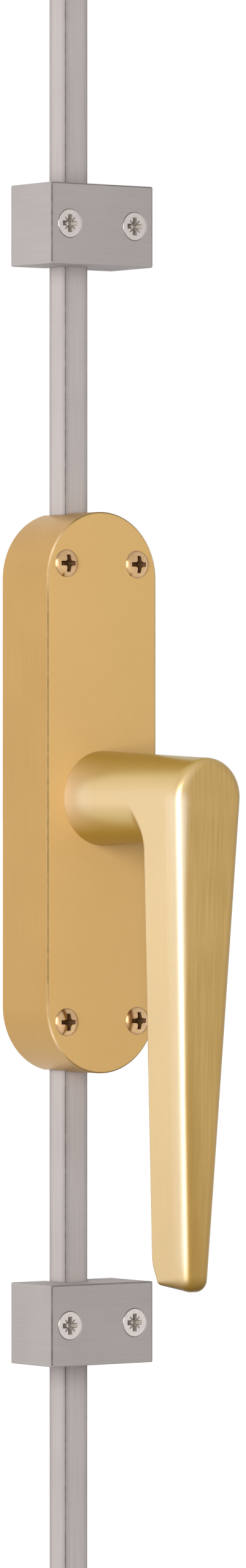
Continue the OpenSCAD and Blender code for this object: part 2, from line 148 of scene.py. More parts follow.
class Bench:
    """Hand tools that shape one piece at a time with Blender's own operators. Lengths are millimetres."""

    @staticmethod
    def take(piece: Obj) -> None:
        """Makes a piece the only selected and active one.

        Args:
            piece: the piece to work on.
        """
        if bpy.context.object and bpy.context.object.mode != "OBJECT":
            bpy.ops.object.mode_set(mode="OBJECT")
        bpy.ops.object.select_all(action="DESELECT")
        piece.select_set(True)
        bpy.context.view_layer.objects.active = piece

    @staticmethod
    def settle(name: str) -> Obj:
        """Names the primitive just added and moves its place into its mesh.

        Args:
            name: the piece's name.

        Returns:
            The piece, at the origin.
        """
        piece = bpy.context.object
        piece.name = name
        piece.data.name = name
        bpy.ops.object.transform_apply(location=True, rotation=True, scale=True)
        return piece

    @staticmethod
    def block(name: str, low: Triple, high: Triple) -> Obj:
        """Starts a piece as a box.

        Args:
            name: the piece's name.
            low: lowest corner.
            high: highest corner.

        Returns:
            The box.
        """
        bpy.ops.object.select_all(action="DESELECT")
        centre = [(a + b) / 2 * MM for a, b in zip(low, high)]
        bpy.ops.mesh.primitive_cube_add(size=1, location=centre)
        bpy.context.object.scale = [(b - a) * MM for a, b in zip(low, high)]
        return Bench.settle(name)

    @staticmethod
    def bar(name: str, front: Pair, back: Pair, sides: int) -> Obj:
        """Starts a piece as a round or tapered bar about the Y axis.

        Args:
            name: the piece's name.
            front: radius and y of the end nearer the front.
            back: radius and y of the end nearer the door.
            sides: number of facets.

        Returns:
            The bar.
        """
        bpy.ops.object.select_all(action="DESELECT")
        bpy.ops.mesh.primitive_cone_add(
            vertices=sides,
            radius1=back[0] * MM,
            radius2=front[0] * MM,
            depth=(back[1] - front[1]) * MM,
            location=(0, (front[1] + back[1]) / 2 * MM, 0),
            rotation=(math.pi / 2, math.pi / sides, 0),
        )
        return Bench.settle(name)

    @staticmethod
    def turned(name: str, profile: Profile, sides: int) -> Obj:
        """Turns a piece about the Y axis by drawing a disc out step by step.

        Args:
            name: the piece's name.
            profile: radius and y of each step, from the front to the back.
            sides: number of facets.

        Returns:
            The turned piece, closed at both ends.
        """
        bpy.ops.object.select_all(action="DESELECT")
        radius, y = profile[0]
        place = (0, y * MM, 0)
        upright = (math.pi / 2, 0, 0)
        bpy.ops.mesh.primitive_circle_add(
            vertices=sides, radius=radius * MM, fill_type="NGON", location=place, rotation=upright
        )
        piece = Bench.settle(name)
        with Bench.opened(piece, Pick.FACES):
            bpy.ops.mesh.select_all(action="SELECT")
            for next_radius, next_y in profile[1:]:
                Bench.draw_out((0, next_y - y, 0))
                share = next_radius / radius
                Bench.scale((share, 1, share), (0, next_y, 0))
                radius, y = next_radius, next_y
        Bench.close(piece)
        return piece

    @staticmethod
    @contextmanager
    def opened(piece: Obj, pick: Pick) -> Iterator[None]:
        """Opens a piece in edit mode with nothing selected, and closes it afterwards.

        Args:
            piece: the piece to open.
            pick: what selections are made of.
        """
        Bench.take(piece)
        bpy.ops.object.mode_set(mode="EDIT")
        bpy.ops.mesh.select_mode(type=pick.value)
        bpy.ops.mesh.select_all(action="DESELECT")
        yield
        bpy.ops.object.mode_set(mode="OBJECT")

    @staticmethod
    def choose(piece: Obj, pick: Pick, test: Callable[[Any], bool]) -> None:
        """Selects, in an opened piece, the elements that pass a test.

        Args:
            piece: the opened piece.
            pick: kind of element.
            test: says whether a mesh element is wanted.
        """
        bpy.ops.mesh.select_mode(type=pick.value)
        bpy.ops.mesh.select_all(action="DESELECT")
        mesh = bmesh.from_edit_mesh(piece.data)
        groups = {Pick.VERTS: mesh.verts, Pick.EDGES: mesh.edges, Pick.FACES: mesh.faces}
        for element in [e for e in groups[pick] if test(e)]:
            element.select_set(True)
        mesh.select_flush_mode()
        bmesh.update_edit_mesh(piece.data)

    @staticmethod
    def move(offset: Triple) -> None:
        """Moves what is selected by an offset."""
        bpy.ops.transform.translate(value=[step * MM for step in offset])

    @staticmethod
    def draw_out(offset: Triple) -> None:
        """Extrudes the selected faces by an offset."""
        bpy.ops.mesh.extrude_region_move(TRANSFORM_OT_translate={"value": [step * MM for step in offset]})

    @staticmethod
    def scale(factors: Triple, centre: Triple) -> None:
        """Scales what is selected about a centre."""
        bpy.ops.transform.resize(value=factors, center_override=[c * MM for c in centre])

    @staticmethod
    def shift(piece: Obj, place: Sequence[float]) -> Obj:
        """Moves a piece's mesh to a place, and hands the piece back."""
        piece.data.transform(Matrix.Translation(Vector(place) * MM))
        return piece

    @staticmethod
    def split(piece: Obj, places: Sequence[Vector], axis: Vector) -> None:
        """Cuts new edges through a piece on planes square to an axis.

        Args:
            piece: the piece.
            places: a point on each plane.
            axis: the planes' normal.
        """
        with Bench.opened(piece, Pick.FACES):
            for place in places:
                bpy.ops.mesh.select_all(action="SELECT")
                bpy.ops.mesh.bisect(plane_co=place * MM, plane_no=axis)

    @staticmethod
    def round_edges(piece: Obj, width: float, steps: int, test: Callable[[Any], bool]) -> None:
        """Bevels the edges that pass a test.

        Args:
            piece: the piece.
            width: width of the bevel.
            steps: number of facets over the bevel.
            test: says whether an edge is wanted.
        """
        with Bench.opened(piece, Pick.EDGES):
            Bench.choose(piece, Pick.EDGES, test)
            bpy.ops.mesh.bevel(offset=width * MM, segments=steps, profile=0.5, affect="EDGES")

    @staticmethod
    def apply(piece: Obj, kind: str, **settings: Any) -> None:
        """Adds one modifier and applies it.

        Args:
            piece: the piece.
            kind: Blender's name of the modifier's type.
            settings: values of the modifier.
        """
        Bench.take(piece)
        modifier = piece.modifiers.new(kind.lower(), kind)
        for key, value in settings.items():
            setattr(modifier, key, value)
        bpy.ops.object.modifier_apply(modifier=modifier.name)

    @staticmethod
    def combine(piece: Obj, tool: Obj, way: Combine) -> None:
        """Cuts or joins a piece with a tool shape, and removes the tool."""
        Bench.apply(piece, "BOOLEAN", operation=way.value, solver="EXACT", object=tool)
        bpy.data.objects.remove(tool)

    @staticmethod
    def sink_hole(piece: Obj, place: Triple, radii: Pair, depth: float) -> None:
        """Cuts a countersunk screw hole in from the front.

        Args:
            piece: the piece that is cut.
            place: middle of the hole's rim.
            radii: radius of the sink and of the hole behind it.
            depth: depth of the hole.
        """
        wide, narrow = radii
        steps = [(wide, -PAST), (wide, 0.0), (narrow, wide - narrow), (narrow, depth)]
        tool = Bench.turned("screw_hole", steps, PLAIN)
        Bench.combine(piece, Bench.shift(tool, place), Combine.CUT)

    @staticmethod
    def copy(piece: Obj, name: str, place: Triple) -> Obj:
        """Copies a piece with its own mesh.

        Args:
            piece: the piece to copy.
            name: the copy's name.
            place: where the copy goes.

        Returns:
            The copy.
        """
        twin = piece.copy()
        twin.data = piece.data.copy()
        twin.name = name
        twin.data.name = name
        bpy.context.scene.collection.objects.link(twin)
        return Bench.shift(twin, place)

    @staticmethod
    def join(pieces: Sequence[Obj]) -> Obj:
        """Joins pieces into the first of them.

        Args:
            pieces: the pieces, of which the first is kept.

        Returns:
            The first piece with all the meshes.
        """
        Bench.take(pieces[0])
        for piece in pieces[1:]:
            piece.select_set(True)
        bpy.ops.object.join()
        return pieces[0]

    @staticmethod
    def close(piece: Obj) -> None:
        """Merges doubled points and turns all faces outwards.

        Args:
            piece: the piece.
        """
        with Bench.opened(piece, Pick.FACES):
            bpy.ops.mesh.select_all(action="SELECT")
            bpy.ops.mesh.remove_doubles(threshold=CLOSE * MM)
            bpy.ops.mesh.normals_make_consistent(inside=False)

    @staticmethod
    def shade(piece: Obj, angle: float = 32.0) -> None:
        """Shades a piece smooth up to an angle, with its flat faces kept flat.

        Args:
            piece: the piece.
            angle: edges sharper than this many degrees stay sharp.
        """
        Bench.take(piece)
        bpy.ops.object.shade_smooth_by_angle(angle=math.radians(angle))
        Bench.apply(piece, "WEIGHTED_NORMAL", keep_sharp=True, mode="FACE_AREA")

    @staticmethod
    def read(items: Any, key: str, width: int, kind: type = float) -> np.ndarray:
        """Reads a property of a mesh's elements.

        Args:
            items: the elements.
            key: name of the property.
            width: how many numbers each element has.
            kind: type of the numbers.

        Returns:
            One row for each element.
        """
        rows = np.empty(len(items) * width, kind)
        items.foreach_get(key, rows)
        return rows.reshape(-1, width)

    @staticmethod
    def write(piece: Obj, name: str, values: Sequence[float], domain: str = "POINT") -> None:
        """Writes a named attribute, with one value for each element of its domain."""
        numbers = np.asarray(values, np.float32)
        piece.data.attributes.new(name, "FLOAT", domain).data.foreach_set("value", numbers)

    @staticmethod
    def paint(piece: Obj, index: int, test: Callable[[Face], bool]) -> None:
        """Gives the faces that pass a test another of the piece's materials.

        Args:
            piece: the piece.
            index: number of the material slot.
            test: says whether a face is wanted.
        """
        for face in piece.data.polygons:
            if test(face):
                face.material_index = index


class Board:
    """A node tree with short calls for adding and joining its nodes."""

    MIX_A = 6
    MIX_B = 7
    MIX_OUT = 2

    def __init__(self, tree: bpy.types.NodeTree) -> None:
        """Keeps the tree that the calls work on."""
        self.tree = tree

    @classmethod
    def fresh(cls, owner: bpy.types.Material | bpy.types.World) -> "Board":
        """Clears the nodes of a material or world.

        Args:
            owner: what the nodes belong to.

        Returns:
            The empty board.
        """
        owner.use_nodes = True
        owner.node_tree.nodes.clear()
        return cls(owner.node_tree)

    def add(self, kind: str, inputs: dict[str | int, Any] | None = None, **settings: Any) -> bpy.types.Node:
        """Adds a node, sets it and joins what feeds it.

        Args:
            kind: Blender's name of the node's type.
            inputs: a value or an output socket for each named or numbered input.
            settings: properties of the node.

        Returns:
            The node.
        """
        node = self.tree.nodes.new(kind)
        for key, value in settings.items():
            setattr(node, key, value)
        for key, value in (inputs or {}).items():
            if isinstance(value, Socket):
                self.tree.links.new(value, node.inputs[key])
            else:
                node.inputs[key].default_value = value
        return node

    def attribute(self, name: str, output: str = "Fac") -> Socket:
        """Reads one of the piece's attributes."""
        return self.add("ShaderNodeAttribute", attribute_name=name).outputs[output]

    def math(self, operation: str, *terms: float | Socket, clamp: bool = False) -> Socket:
        """Works one sum out of values and sockets."""
        sums = dict(enumerate(terms))
        return self.add("ShaderNodeMath", sums, operation=operation, use_clamp=clamp).outputs[0]

    def noise(self, place: Socket, scale: float | Socket, detail: float, distortion: float = 0.0) -> Socket:
        """Adds soft noise around 0.5."""
        inputs = {"Vector": place, "Scale": scale, "Detail": detail, "Distortion": distortion}
        return self.add("ShaderNodeTexNoise", inputs).outputs["Fac"]

    def blend(self, factor: float | Socket, first: float | Socket, second: float | Socket) -> Socket:
        """Mixes two values by the share of the second."""
        return self.add("ShaderNodeMix", {0: factor, 2: first, 3: second}, data_type="FLOAT").outputs[0]

    def mix(self, factor: Socket, first: Triple | Socket, second: Triple | Socket) -> Socket:
        """Mixes two colours.

        Args:
            factor: share of the second colour.
            first: first colour.
            second: second colour.

        Returns:
            The mixed colour.
        """
        colours = [c if isinstance(c, Socket) else (*c, 1.0) for c in (first, second)]
        inputs = {0: factor, self.MIX_A: colours[0], self.MIX_B: colours[1]}
        return self.add("ShaderNodeMix", inputs, data_type="RGBA", clamp_factor=True).outputs[self.MIX_OUT]

    def spread(
        self, value: Socket, low: float, high: float, source: Pair = (0.0, 1.0), soft: bool = False
    ) -> Socket:
        """Maps a value from one range onto another.

        Args:
            value: the value.
            low: result at the source's start.
            high: result at the source's end.
            source: range that the value comes from.
            soft: whether the ends are eased.

        Returns:
            The mapped value.
        """
        inputs = {"Value": value, "From Min": source[0], "From Max": source[1], "To Min": low, "To Max": high}
        way = "SMOOTHSTEP" if soft else "LINEAR"
        return self.add("ShaderNodeMapRange", inputs, interpolation_type=way).outputs["Result"]


class Effects:
    """Shader groups that the finishes share, each built once."""

    @staticmethod
    def _start(name: str, vectors: Sequence[str], values: Sequence[str], output: str) -> tuple[Board, Any]:
        """Starts a group with named sockets.

        Args:
            name: the group's name.
            vectors: names of its vector inputs.
            values: names of its value inputs.
            output: name of its one output, a value.

        Returns:
            The group's board and the sockets of what it is given.
        """
        tree = bpy.data.node_groups.new(name, "ShaderNodeTree")
        for names, kind in ((vectors, "NodeSocketVector"), (values, "NodeSocketFloat")):
            for socket in names:
                tree.interface.new_socket(socket, in_out="INPUT", socket_type=kind)
        tree.interface.new_socket(output, in_out="OUTPUT", socket_type="NodeSocketFloat")
        board = Board(tree)
        return board, board.add("NodeGroupInput").outputs

    @staticmethod
    @cache
    def brush_lines() -> bpy.types.NodeTree:
        """Fine lines left by a brushing belt: long noise, coarse over fine.

        Returns:
            The group, with the output Lines from 0 to 1.
        """
        coarse, coarse_share, middle = 0.27, 0.25, 0.5
        board, given = Effects._start("brush_lines", ("Vector", "Scale"), ("Contrast",), "Lines")
        pair = {0: given["Vector"], 1: given["Scale"]}
        fine = board.add("ShaderNodeVectorMath", pair, operation="MULTIPLY").outputs[0]
        broad = board.add("ShaderNodeVectorMath", {0: fine, "Scale": coarse}, operation="SCALE").outputs[0]
        threads = board.noise(fine, scale=1.0, detail=1.5)
        bands = board.noise(broad, scale=1.0, detail=2.0)
        centred = board.math("SUBTRACT", board.blend(coarse_share, threads, bands), middle)
        lines = board.math("MULTIPLY_ADD", centred, given["Contrast"], middle, clamp=True)
        board.add("NodeGroupOutput", {"Lines": lines})
        return board.tree

    @staticmethod
    @cache
    def soft_tone() -> bpy.types.NodeTree:
        """Slow drift of tone over a surface.

        Returns:
            The group, with the output Tone from 0 to 1.
        """
        board, given = Effects._start("soft_tone", ("Vector",), ("Size",), "Tone")
        cloud = board.noise(given["Vector"], given["Size"], detail=2.0, distortion=0.4)
        board.add("NodeGroupOutput", {"Tone": board.spread(cloud, 0.0, 1.0, source=(0.3, 0.7), soft=True)})
        return board.tree

    @staticmethod
    @cache
    def painted_edge_light_shade() -> bpy.types.NodeTree:
        """Mask of the light and shade painted along edges, broken up by noise.

        Returns:
            The group, with the output Light_Shade from 0 to 1.
        """
        board, given = Effects._start("painted_edge_light_shade", ("Vector",), ("Edge", "Breakup", "Patches"), "Light_Shade")
        noise = board.noise(given["Vector"], given["Breakup"], detail=4.0)
        patchy = board.spread(noise, 0.0, 1.0, source=(0.25, 0.6))
        even = board.blend(given["Patches"], 1.0, patchy)
        board.add("NodeGroupOutput", {"Light_Shade": board.math("MULTIPLY", even, given["Edge"])})
        return board.tree


@dataclass(frozen=True)
class Finish:
    """What every finish has.

    Attributes:
        name: the material's name.
        slot: the record's material slot; not used here.
        light: lighter colour.
        dark: darker colour.
        roughness: lowest and highest roughness.
    """

    name: str
    slot: str
    light: Triple
    dark: Triple
    roughness: Pair

    @cache
    def material(self) -> bpy.types.Material:
        """Builds the finish's material once.

        Returns:
            The material.
        """
        made = bpy.data.materials.new(f"{self.name}_finish")
        board = Board.fresh(made)
        place = board.add("ShaderNodeTexCoord").outputs["Object"]
        shader = board.add("ShaderNodeBsdfPrincipled", self._surface(board, place))
        board.add("ShaderNodeOutputMaterial", {"Surface": shader.outputs["BSDF"]})
        return made

    def _surface(self, board: Board, place: Socket) -> dict[str, Any]:
        """Says what feeds the finish's shader."""
        raise NotImplementedError


@dataclass(frozen=True)
class Plastic(Finish):
    """A moulded plastic finish with a faint cloudy tone.

    Attributes:
        cloud: clouds per metre, roughly.
    """

    cloud: float = 300.0

    def _surface(self, board: Board, place: Socket) -> dict[str, Any]:
        """Says what feeds the finish's shader.

        Args:
            board: the material's tree.
            place: coordinates on the piece.

        Returns:
            The shader's inputs by name.
        """
        inputs = {"Vector": place, "Size": self.cloud}
        tone = board.add("ShaderNodeGroup", inputs, node_tree=Effects.soft_tone()).outputs["Tone"]
        colour = board.mix(tone, self.dark, self.light)
        return {"Base Color": colour, "Roughness": board.spread(tone, *self.roughness)}


@dataclass(frozen=True)
class Metal(Finish):
    """A metal finish: brushed or grained, with drifting tone, and light and shade painted along edges and on
    marked surfaces.

    Attributes:
        edge: colour painted where the edge attribute marks: a painted highlight on the lever's edge, painted
            dark lines and shade on the other pieces' edges.
        grain: way that the lines run.
        fineness: lines per metre, roughly.
        contrast: strength of the lines' masks.
        relief: depth of the lines in the bump, 0 to 1.
        lacquer: weight of a clear coat.
        metallic: share of bare metal, less under a satin lacquer.
        shade: painted shade tone of the surfaces that the piece's shade attribute marks.
        pale: painted light tone of the surfaces that its pale attribute marks.
        deep: painted shade tone of the surfaces that its deep attribute marks.
        end_shade: painted shade tone of the surfaces that its end_shade attribute marks.
        patches: how patchy the painted edge light and shade is, 0 to 1.
        gloss: specular level of the lacquered share.
        bounce: share of its colour that it throws onto its neighbours.
        flow: name of the piece's attribute that the lines follow, in place of its own coordinates.
        calm_share: contrast left of lines that follow an attribute, where the calm attribute is full.
        cloud: clouds of tone per metre, roughly.
        cloud_share: share of the clouds in the tone, beside the lines.
        breakup: patches of the painted edge light and shade per metre, roughly.
        line_share: brightness of the dark lines in the marked tones.
        line_depth: depth of the lines in metres.
        coat_rough: roughness of the clear coat.
    """

    edge: Triple
    grain: Grain = Grain.NONE
    fineness: float = 2600.0
    contrast: float = 1.6
    relief: float = 0.12
    lacquer: float = 0.0
    metallic: float = 1.0
    shade: Triple | None = None
    pale: Triple | None = None
    deep: Triple | None = None
    end_shade: Triple | None = None
    patches: float = 0.25
    gloss: float = 0.15
    bounce: float = 1.0
    flow: str = ""
    calm_share: float = 0.15
    cloud: float = 38.0
    cloud_share: float = 0.3
    breakup: float = 420.0
    line_share: float = 0.95
    line_depth: float = 0.00005
    coat_rough: float = 0.12

    def _surface(self, board: Board, place: Socket) -> dict[str, Any]:
        """Says what feeds the finish's shader.

        Args:
            board: the material's tree.
            place: coordinates on the piece.

        Returns:
            The shader's inputs by name.
        """
        path, contrast = place, self.contrast
        if self.flow:
            path = board.attribute(self.flow, "Vector")
            contrast = board.spread(board.attribute("calm"), contrast, self.calm_share * contrast)
        stretch = [self.fineness * share for share in self.grain.value]
        inputs = {"Vector": path, "Scale": stretch, "Contrast": contrast}
        lines = board.add("ShaderNodeGroup", inputs, node_tree=Effects.brush_lines()).outputs["Lines"]
        inputs = {"Vector": place, "Size": self.cloud}
        cloud = board.add("ShaderNodeGroup", inputs, node_tree=Effects.soft_tone()).outputs["Tone"]
        tone = board.blend(self.cloud_share, lines, cloud)
        bump = {"Height": lines, "Strength": self.relief, "Distance": self.line_depth}
        return {
            "Base Color": self._colour(board, place, tone),
            "Roughness": board.spread(tone, *reversed(self.roughness)),
            "Normal": board.add("ShaderNodeBump", bump).outputs["Normal"],
            "Metallic": self.metallic,
            "Specular IOR Level": self.gloss,
            "Coat Weight": self.lacquer,
            "Coat Roughness": self.coat_rough,
        }

    def _colour(self, board: Board, place: Socket, tone: Socket) -> Socket:
        """Mixes the plain colour, the marked tones of painted light and shade, and the light and shade
        painted along edges.

        Args:
            board: the material's tree.
            place: coordinates on the piece.
            tone: mask of the lines and clouds.

        Returns:
            The colour.
        """
        colour = board.mix(tone, self.dark, self.light)
        # The marked tones lay painted shade and painted light over the plain colour where their attributes
        # mark.
        for name in ("shade", "pale", "deep", "end_shade"):
            tint = getattr(self, name)
            if tint:
                lower = [part * self.line_share for part in tint]
                colour = board.mix(board.attribute(name), colour, board.mix(tone, lower, tint))
        # The edge attribute paints a highlight along the lever's edge, and dark lines and shade along the
        # edges of the case, rods, blocks and screw heads.
        edge_light_shade_mask = board.attribute("edge")
        inputs = {"Vector": place, "Breakup": self.breakup, "Patches": self.patches, "Edge": edge_light_shade_mask}
        edge_light_shade_share = board.add("ShaderNodeGroup", inputs, node_tree=Effects.painted_edge_light_shade()).outputs["Light_Shade"]
        colour = board.mix(edge_light_shade_share, colour, self.edge)
        if self.bounce < 1:
            thrown = board.add("ShaderNodeLightPath").outputs["Is Diffuse Ray"]
            colour = board.mix(board.math("MULTIPLY", thrown, 1 - self.bounce), colour, (0.0, 0.0, 0.0))
        return colour


# The case's front: its edge colour paints a dark line along the straight front edge and over the ends, its
# pale colour a highlight where they meet.
SATIN_BRASS = Metal(
    "satin_brass", "satin_brass", (0.805, 0.515, 0.201), (0.763, 0.478, 0.178), (0.40, 0.50),
    (0.23, 0.143, 0.046), fineness=1500.0, contrast=1.2, relief=0.03, metallic=0.0, pale=(0.88, 0.66, 0.42),
)
# The case's side wall: a darker copy of the case's brass that paints shade on the side; only its lengthwise
# brushing is the side's own.
SATIN_BRASS_SHADED_SIDE = Metal(
    "satin_brass_shaded_side", "satin_brass", (0.507, 0.310, 0.109), (0.462, 0.273, 0.090), (0.36, 0.46),
    (0.45, 0.27, 0.10), Grain.ALONG_BLADE, fineness=4200.0, contrast=1.8, relief=0.05, metallic=0.8,
)
# The lever: its edge colour is a painted highlight on the blade's left front edge; its pale tone is painted
# light on the sides; its other marked tones are painted shade on the hub's top and underside, on the front
# and at the blade's end.
BRUSHED_BRASS = Metal(
    "brushed_brass", "brushed_brass", (0.640, 0.424, 0.160), (0.460, 0.293, 0.090), (0.24, 0.34),
    (0.83, 0.695, 0.50), Grain.ALONG_BLADE, fineness=2900.0, contrast=2.8, relief=0.02, metallic=0.42,
    shade=(0.375, 0.214, 0.042), pale=(0.703, 0.523, 0.280), deep=(0.46, 0.304, 0.048),
    end_shade=(0.20, 0.112, 0.010), patches=0.1, bounce=0.6, flow="brushing",
)
# Brass screw heads: the edge colour paints a dark shade rim round each head.
BRIGHT_BRASS = Metal(
    "bright_brass", "bright_brass", (0.64, 0.410, 0.200), (0.47, 0.285, 0.130), (0.16, 0.26),
    (0.26, 0.145, 0.060), fineness=700.0, contrast=2.2, relief=0.05, lacquer=0.6,
)
# The cross recess of the brass screws, darkened as painted shade.
SHADED_RECESS_BRASS = Metal(
    "shaded_recess_brass", "bright_brass", (0.15, 0.072, 0.027), (0.08, 0.037, 0.013), (0.48, 0.62),
    (0.30, 0.17, 0.06), contrast=1.8, relief=0.05, metallic=0.15, gloss=0.1,
)
# The rods: the edge colour paints a dark line and faint shade along their long edges.
ROD_NICKEL = Metal(
    "rod_nickel", "brushed_nickel_rod", (0.565, 0.514, 0.500), (0.474, 0.427, 0.414), (0.50, 0.64),
    (0.080, 0.070, 0.067), Grain.ALONG_ROD, fineness=3600.0, contrast=2.6, relief=0.06, metallic=0.25,
)
# The guide blocks: the edge colour paints a dark line along their edges.
BLOCK_NICKEL = Metal(
    "block_nickel", "brushed_nickel_block", (0.458, 0.419, 0.407), (0.407, 0.371, 0.359), (0.50, 0.64),
    (0.145, 0.132, 0.126), Grain.LEVEL, fineness=3000.0, contrast=1.8, relief=0.04, metallic=0.25,
)
# Nickel screw heads: the edge colour paints a dark shade rim round each head.
BRIGHT_NICKEL = Metal(
    "bright_nickel", "bright_nickel", (0.66, 0.605, 0.585), (0.52, 0.470, 0.450), (0.20, 0.34),
    (0.10, 0.088, 0.082), fineness=1800.0, contrast=2.0, relief=0.08,
)
# The ticked cross recess of the nickel screws, darkened as painted shade.
SHADED_RECESS_NICKEL = Metal(
    "shaded_recess_nickel", "bright_nickel", (0.36, 0.322, 0.284), (0.22, 0.192, 0.164), (0.42, 0.58),
    (0.40, 0.36, 0.31), fineness=2200.0, contrast=2.0, relief=0.10, metallic=0.2,
)
PLAIN_STEEL = Metal(
    "plain_steel", "plain_steel", (0.40, 0.405, 0.42), (0.31, 0.315, 0.33), (0.26, 0.40),
    (0.48, 0.48, 0.49), Grain.ACROSS_BLOCK, contrast=1.5, relief=0.10,
)
ZINC_STEEL = Metal(
    "zinc_steel", "zinc_steel", (0.56, 0.57, 0.58), (0.44, 0.45, 0.465), (0.30, 0.46),
    (0.62, 0.62, 0.63), fineness=420.0, contrast=1.5, relief=0.04,
)
SPRING_STEEL = Metal(
    "spring_steel", "spring_steel", (0.17, 0.175, 0.185), (0.11, 0.112, 0.12), (0.26, 0.38),
    (0.25, 0.25, 0.26), fineness=900.0, contrast=1.3, relief=0.05,
)
BLACK_STEEL = Metal(
    "black_steel", "black_steel", (0.030, 0.030, 0.033), (0.016, 0.016, 0.018), (0.34, 0.50),
    (0.10, 0.10, 0.10), fineness=1400.0, contrast=1.3, relief=0.06,
)
BRONZE = Metal(
    "bronze", "bronze", (0.42, 0.245, 0.090), (0.31, 0.172, 0.058), (0.36, 0.55),
    (0.50, 0.31, 0.13), contrast=2.0, relief=0.18,
)
NYLON = Plastic("nylon", "nylon", (0.83, 0.81, 0.74), (0.76, 0.74, 0.66), (0.38, 0.50))

PACKED_FINISHES: dict[Finish, tuple[str, ...]] = {
    ZINC_STEEL: ("back_plate", "back_plate_screws", "upper_rack_screws", "lower_rack_screws"),
    BRONZE: ("front_bush", "rear_bush"),
    NYLON: ("hub_washer",),
    SPRING_STEEL: ("wave_washer", "retaining_ring"),
    BLACK_STEEL: ("lever_grub_screw",),
    PLAIN_STEEL: ("spindle", "pinion", "upper_rack", "lower_rack"),
}


def dress(piece: Obj, finishes: Sequence[Finish], body: str, node: str) -> None:
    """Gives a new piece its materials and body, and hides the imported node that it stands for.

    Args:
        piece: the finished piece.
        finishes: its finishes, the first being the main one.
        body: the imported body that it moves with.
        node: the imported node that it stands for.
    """
    piece.data.materials.clear()
    for finish in finishes:
        piece.data.materials.append(finish.material())
    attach(piece, body)
    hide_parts(node)
    LOG.info("%s: %d faces, rides on %s", piece.name, len(piece.data.polygons), body)


